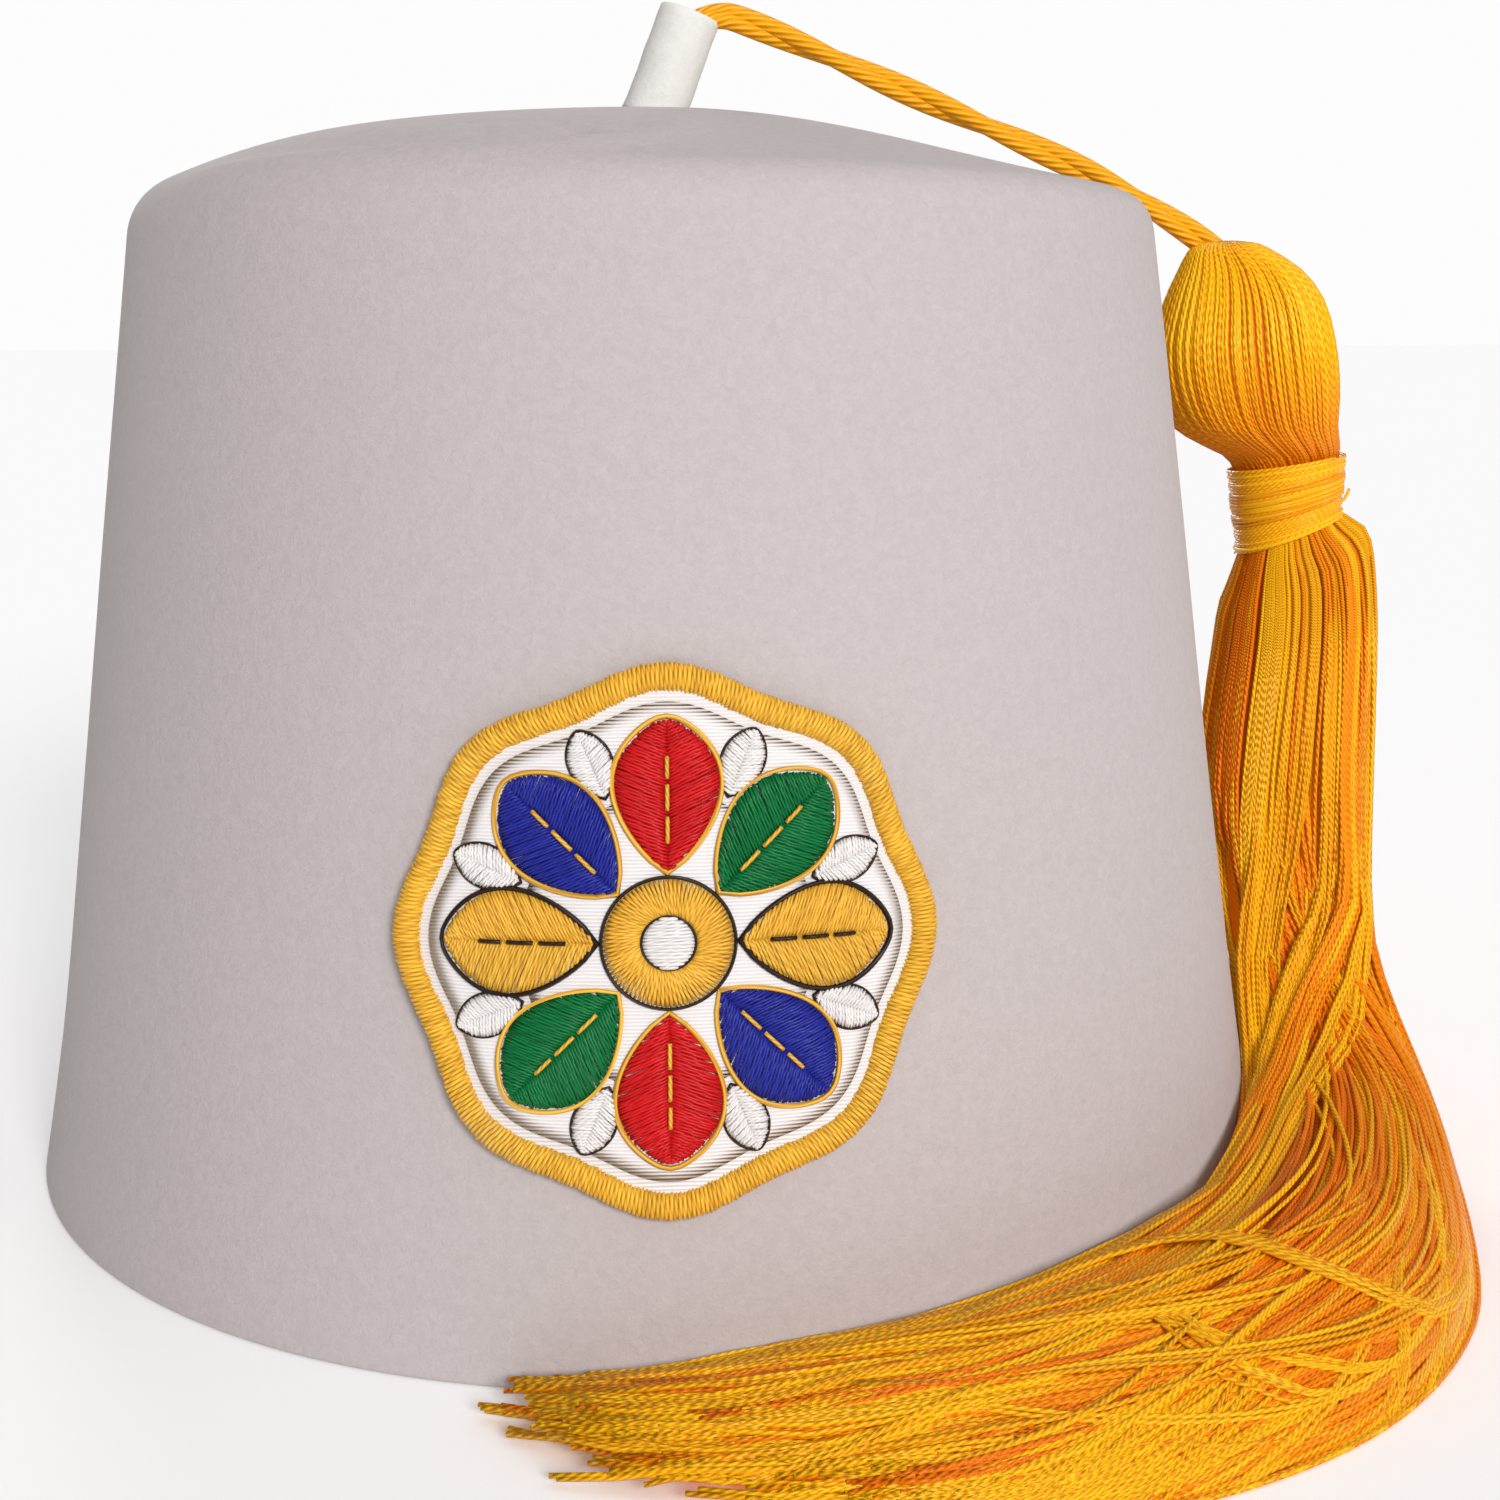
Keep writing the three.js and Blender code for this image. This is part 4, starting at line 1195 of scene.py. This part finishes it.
def patch_point(distance, angle, height):
    """Point of the rosette at a distance and an angle from its middle, off the felt by height."""
    p = patch_sizes()
    tilt = float(wall_normal(np.asarray(math.pi / 2), np.asarray(p.height))[2])
    upright = math.sqrt(1 - tilt ** 2)
    side = p.side + distance * np.cos(angle)
    z = p.height + distance * np.sin(angle) * upright
    turn = math.pi / 2 - side / wall_half_width(z)
    return wall_point(turn, z) + wall_normal(turn, z) * np.asarray(height)[..., None]


def patch_edge(angle):
    p = patch_sizes()
    return p.radius - p.lobe_depth * (0.5 - 0.5 * np.cos(p.lobes * angle)) - p.border


def patch_place(x, y, height):
    """The same by level and upward distances in the rosette's own plane."""
    return patch_point(np.hypot(x, y), np.arctan2(y, x), height)


def stitch(x0, y0, x1, y1, low, arch, radius, steps=6):
    """One stitch between two places of the rosette, arched over what it covers."""
    share = np.linspace(0, 1, steps)
    height = low + arch * np.sin(math.pi * share) ** 0.6
    points = patch_place(x0 + (x1 - x0) * share, y0 + (y1 - y0) * share, height)
    return thread_line(points, radius)


def leaf_half_width(share, widest):
    """Half width of a petal or leaf along its length: pointed inside, rounded outside."""
    return widest * np.sin(math.pi * np.clip(share, 0, 1) ** 0.8) ** 0.75


def leaf_axes(angle):
    """Directions along and across a leaf that points away from the rosette's middle."""
    along = np.array([math.cos(angle), math.sin(angle)])
    return along, np.array([-along[1], along[0]])


def leaf_stitches(angle, inner, outer, widest, ground, rng):
    """Satin stitches that slant from a leaf's middle line out to both its edges."""
    spacing = 0.38 * MM
    rows = int((outer - inner) / spacing)
    along, across = leaf_axes(angle)
    lines = []
    for row in range(rows):
        share = (row + 0.5) / rows
        half = float(leaf_half_width(share, widest))
        start = along * (inner + (outer - inner) * share)
        for hand in (-1, 1):
            end = start + across * hand * half + along * half * STITCH_SLANT
            jitter = rng.normal(0, 0.06 * MM, 2)
            lines.append(stitch(
                start[0] - hand * across[0] * 0.15 * MM, start[1] - hand * across[1] * 0.15 * MM,
                end[0] + jitter[0], end[1] + jitter[1],
                ground + 0.12 * MM, 0.42 * MM, 0.23 * MM))
    return lines


def leaf_outline(angle, inner, outer, widest, height, radius):
    """A cord of thread laid round a leaf."""
    along, across = leaf_axes(angle)
    share = np.linspace(0, 1, 30)
    half = leaf_half_width(share, widest)
    reach = inner + (outer - inner) * share + half * STITCH_SLANT
    there = along * reach[:, None] + across * half[:, None]
    back = along * reach[::-1, None] - across * half[::-1, None]
    loop = np.vstack([there, back, there[:2]])
    points = patch_place(loop[:, 0], loop[:, 1], np.full(len(loop), height))
    return thread_line(points, radius)


def build_patch():
    """The rosette: a white ground, eight petals, eight leaves and a boss in satin stitch."""
    p = patch_sizes()
    rng = np.random.default_rng(3)
    angle = np.linspace(0, 2 * math.pi, 192, endpoint=False)
    edge = patch_edge(angle) - 0.2 * MM
    levels = [(share, 0.3 * MM) for share in (0.03, 0.35, 0.7, 1)]
    levels += [(1, p.ground - 0.25 * MM), (0.996, p.ground - 0.08 * MM), (0.99, p.ground - 0.02 * MM)]
    levels += [(share, p.ground) for share in np.linspace(0.975, 0.03, 16)]
    rings = [patch_point(share * edge, angle, np.full(192, height)) for share, height in levels]
    ground = mesh_from(bridged_rings(rings), "patch_ground")
    new_piece("patch_ground", ground, ground_material(), "embroidery", "patch")
    lobes = p.lobes
    turn = 2 * math.pi / lobes
    groups = {"red": [], "blue": [], "green": [], "gold": [], "dark": [], "white": []}
    for i in range(lobes):
        petal = math.pi / 2 + turn * i
        shade = ("red", "blue", "gold", "green")[i % 4]
        groups[shade] += leaf_stitches(petal, *PETAL, p.ground, rng)
        trim = "dark" if shade == "gold" else "gold"
        groups[trim].append(leaf_outline(petal, *PETAL_EDGE, p.ground + 0.3 * MM, 0.3 * MM))
        leaf = petal + turn / 2
        groups["white"] += leaf_stitches(leaf, *LEAF, p.ground, rng)
        groups["dark"].append(leaf_outline(leaf, *LEAF_EDGE, p.ground + 0.15 * MM, 0.17 * MM))
        groups[trim] += petal_vein(petal, p.ground + 0.62 * MM)
    spokes = 84
    for i in range(spokes):
        start = 2 * math.pi * i / spokes
        end = start + 0.12
        groups["gold"].append(stitch(
            BOSS_INNER * math.cos(start), BOSS_INNER * math.sin(start),
            BOSS_OUTER * math.cos(end), BOSS_OUTER * math.sin(end),
            p.ground + 0.15 * MM, 0.5 * MM, 0.25 * MM))
    for i in range(15):
        y = (i - 7) * 0.4 * MM
        half = math.sqrt(max(0.1 * MM ** 2, (3.0 * MM) ** 2 - y * y))
        groups["white"].append(stitch(-half, y, half, y, p.ground + 0.15 * MM, 0.55 * MM, 0.24 * MM, 9))
    for reach, radius in ((BOSS_INNER, 0.2 * MM), (BOSS_OUTER + 0.3 * MM, 0.22 * MM)):
        ring = np.linspace(0, 2 * math.pi, 60)
        points = patch_point(np.full(60, reach), ring, np.full(60, p.ground + 0.35 * MM))
        groups["dark"].append(thread_line(points, radius))
    for shade, (colour, shadow) in STITCH_COLOURS.items():
        mesh = threads_mesh(f"stitches_{shade}", groups[shade])
        material = thread_material(f"{shade}_thread", colour, shadow, 3.0, 0.4, 0.36, 0.3)
        new_piece(mesh.name, mesh, material, "embroidery")


def petal_vein(angle, height):
    """Three short gold stitches down the middle of a petal."""
    lines = []
    for inner, outer in PETAL_VEIN:
        lines.append(stitch(
            inner * MM * math.cos(angle), inner * MM * math.sin(angle),
            outer * MM * math.cos(angle), outer * MM * math.sin(angle),
            height, 0.15 * MM, 0.26 * MM))
    return lines


def ground_material():
    """White fill stitches in level rows, with painted shade between the rows."""
    material, shader = blank_material("ground_stitches", 0.6)
    tree = material.node_tree
    place = tree.nodes.new("ShaderNodeTexCoord")
    parts = tree.nodes.new("ShaderNodeSeparateXYZ")
    tree.links.new(place.outputs["Object"], parts.inputs[0])
    wander = noise_node(tree, place.outputs["Object"], 400.0, 2.0)
    row_height = 0.42 * MM
    level = math_node(tree, "MULTIPLY", parts.outputs["Z"], 2 * math.pi / row_height)
    wave = math_node(tree, "SINE", math_node(tree, "ADD", level, wander))
    height = range_node(tree, wave, -1.0, 1.0, 0.0, 1.0)
    # Painted shade: darker in the troughs between the rows
    shade = range_node(tree, wave, -1.0, 0.2, 0.8, 0.0)
    tone = mix_colour(tree, shade, (0.80, 0.78, 0.77), (0.64, 0.62, 0.63))
    tree.links.new(tone, shader.inputs["Base Color"])
    bump_into(tree, shader, height, 0.5, 0.0002)
    return material


def build_patch_border():
    """Gold thread wound over the rosette's edge, turn beside turn."""
    p = patch_sizes()
    rng = np.random.default_rng(8)
    count, slant = 380, 0.010
    lines = []
    for i in range(count):
        angle = 2 * math.pi * i / count
        share = np.linspace(0, 1, 9)
        round_edge = math.pi * (1.12 - 1.24 * share)
        place = angle + slant * (share - 0.5)
        wide = p.border * rng.uniform(0.93, 1.05)
        distance = patch_edge(place) - wide * np.cos(round_edge)
        height = 0.35 * MM + p.border * 0.55 + 0.85 * p.border * np.sin(round_edge)
        points = patch_point(distance, place, np.maximum(height, 0.1 * MM))
        lines.append(thread_line(points, 0.29 * MM))
    mesh = threads_mesh("border_stitches", lines)
    gold, shadow = (0.86, 0.50, 0.05), (0.45, 0.22, 0.02)
    material = thread_material("border_gold", gold, shadow, 3.0, 0.35, 0.4, 0.3)
    return new_piece("border_stitches", mesh, material, "border_thread", "patch_border")


def far_light(name, direction, energy, tint):
    """A broad light from far off, even over the whole floor."""
    light = bpy.data.lights.new(name, "SUN")
    light.angle = math.radians(20.0)
    light.energy = energy
    light.color = tint
    lamp = in_scene(name, light)
    lamp.rotation_euler = Vector(direction).to_track_quat("-Z", "Y").to_euler()


def build_camera():
    """A camera at the photograph's place and angle."""
    place = Vector((0.0034, -0.33533, 0.12071))
    yaw, pitch, roll = math.radians(2.02), math.radians(10.75), math.radians(-0.21)
    focal_pixels, frame_pixels = 2191.7, 1500
    view = bpy.data.cameras.new("photo_view")
    view.sensor_width = 36
    view.lens = focal_pixels / frame_pixels * view.sensor_width
    view.clip_start = 0.01
    level = math.cos(pitch)
    forward = Vector((math.sin(yaw) * level, math.cos(yaw) * level, -math.sin(pitch)))
    right = Vector((math.cos(yaw), -math.sin(yaw), 0))
    up = right.cross(forward)
    rolled_right = right * math.cos(roll) + up * math.sin(roll)
    rolled_up = up * math.cos(roll) - right * math.sin(roll)
    turn = Matrix((rolled_right, rolled_up, -forward)).transposed()
    camera = in_scene("photo_view", view)
    camera.matrix_world = Matrix.Translation(place) @ turn.to_4x4()
    bpy.context.scene.camera = camera


def build_stage():
    """A pale floor in a bright room, under soft light."""
    half_floor, floor_glow, wall_glow = 20.0, 0.09, 0.98
    bm = bmesh.new()
    bmesh.ops.create_grid(bm, x_segments=8, y_segments=8, size=half_floor)
    floor_mesh = bpy.data.meshes.new("floor")
    bm.to_mesh(floor_mesh)
    bm.free()
    floor = in_scene("floor", floor_mesh)
    material, shader = blank_material("pale_floor", 1.0)
    set_inputs(shader, {
        "Base Color": (*colours().floor, 1), "Specular IOR Level": 0.0,
        "Emission Color": (1, 1, 1, 1), "Emission Strength": floor_glow})
    floor_mesh.materials.append(material)
    for light in FAR_LIGHTS:
        far_light(*light)
    world = bpy.context.scene.world or bpy.data.worlds.new("pale_room")
    bpy.context.scene.world = world
    world.use_nodes = True
    tree = world.node_tree
    back = tree.nodes["Background"]
    back.inputs["Color"].default_value = (1, 1, 1, 1)
    place = tree.nodes.new("ShaderNodeTexCoord")
    parts = tree.nodes.new("ShaderNodeSeparateXYZ")
    tree.links.new(place.outputs["Generated"], parts.inputs[0])
    # The room is brighter overhead and towards the right; the camera sees a plain pale wall
    ceiling = range_node(tree, parts.outputs["Z"], 0.35, 0.75, 0.17, 0.93)
    window = range_node(tree, parts.outputs["X"], -0.5, 0.5, 0.45, 0.95)
    room = math_node(tree, "MULTIPLY", ceiling, window)
    seen = tree.nodes.new("ShaderNodeLightPath").outputs["Is Camera Ray"]
    unseen = math_node(tree, "SUBTRACT", 1.0, seen)
    shown = math_node(tree, "MULTIPLY", seen, wall_glow)
    lit = math_node(tree, "MULTIPLY", unseen, room)
    tree.links.new(math_node(tree, "ADD", shown, lit), back.inputs["Strength"])
    bpy.context.scene.view_settings.view_transform = "Standard"


class FEZ_OT_camera(bpy.types.Operator):
    """Add the camera at the photograph's angle"""

    bl_idname = "fez.camera"
    bl_label = "Camera"

    def execute(self, context):
        build_camera()
        return {"FINISHED"}


class FEZ_OT_cord(bpy.types.Operator):
    """Add the twisted cord and the tassel's head that hangs on it"""

    bl_idname = "fez.cord"
    bl_label = "Cord and tassel head"

    def execute(self, context):
        build_cord(build_tassel_head())
        return {"FINISHED"}


class FEZ_OT_neck_wrap(bpy.types.Operator):
    """Add the thread wound round the tassel's neck"""

    bl_idname = "fez.neck_wrap"
    bl_label = "Neck wrap"

    def execute(self, context):
        build_neck_wrap()
        return {"FINISHED"}


class FEZ_OT_skirt(bpy.types.Operator):
    """Add the tassel's skirt of loose threads"""

    bl_idname = "fez.skirt"
    bl_label = "Tassel skirt"

    def execute(self, context):
        build_skirt()
        return {"FINISHED"}


class FEZ_OT_crown(bpy.types.Operator):
    """Add the felt crown"""

    bl_idname = "fez.crown"
    bl_label = "Felt crown"

    def execute(self, context):
        build_crown()
        return {"FINISHED"}


class FEZ_OT_stem(bpy.types.Operator):
    """Add the stem of rolled felt"""

    bl_idname = "fez.stem"
    bl_label = "Felt stem"

    def execute(self, context):
        build_stem()
        return {"FINISHED"}


class FEZ_OT_patch(bpy.types.Operator):
    """Add the embroidered rosette"""

    bl_idname = "fez.patch"
    bl_label = "Embroidered rosette"

    def execute(self, context):
        build_patch()
        return {"FINISHED"}


class FEZ_OT_patch_border(bpy.types.Operator):
    """Add the wound border of the rosette"""

    bl_idname = "fez.patch_border"
    bl_label = "Rosette border"

    def execute(self, context):
        build_patch_border()
        return {"FINISHED"}


class FEZ_OT_stage(bpy.types.Operator):
    """Add the floor and the lights"""

    bl_idname = "fez.stage"
    bl_label = "Floor and lights"

    def execute(self, context):
        build_stage()
        return {"FINISHED"}


OPERATORS = (
    FEZ_OT_camera, FEZ_OT_cord, FEZ_OT_neck_wrap, FEZ_OT_skirt, FEZ_OT_crown, FEZ_OT_stem,
    FEZ_OT_patch, FEZ_OT_patch_border, FEZ_OT_stage,
)
GROUPS = {
    "fez_crown": FezCrownSizes,
    "fez_tassel": FezTasselSizes,
    "fez_patch": FezPatchSizes,
    "fez_colours": FezColours,
}


class FEZ_PT_parts(bpy.types.Panel):
    """The fez's pieces, in the order in which they are made"""

    bl_idname = "FEZ_PT_parts"
    bl_label = "Fez"
    bl_space_type = "VIEW_3D"
    bl_region_type = "UI"
    bl_category = "Fez"

    def draw(self, context):
        for operator in OPERATORS:
            self.layout.operator(operator.bl_idname)
        for name, group in GROUPS.items():
            box = self.layout.box()
            for field in group.__annotations__:
                box.prop(getattr(context.scene, name), field)


def register():
    for name, group in GROUPS.items():
        bpy.utils.register_class(group)
        setattr(bpy.types.Scene, name, bpy.props.PointerProperty(type=group))
    for cls in (*OPERATORS, FEZ_PT_parts):
        bpy.utils.register_class(cls)


def unregister():
    for cls in (FEZ_PT_parts, *reversed(OPERATORS)):
        bpy.utils.unregister_class(cls)
    for name, group in GROUPS.items():
        delattr(bpy.types.Scene, name)
        bpy.utils.unregister_class(group)


def main():
    register()
    for operator in OPERATORS:
        getattr(bpy.ops.fez, operator.bl_idname.split(".")[1])()


if __name__ == "__main__":
    main()
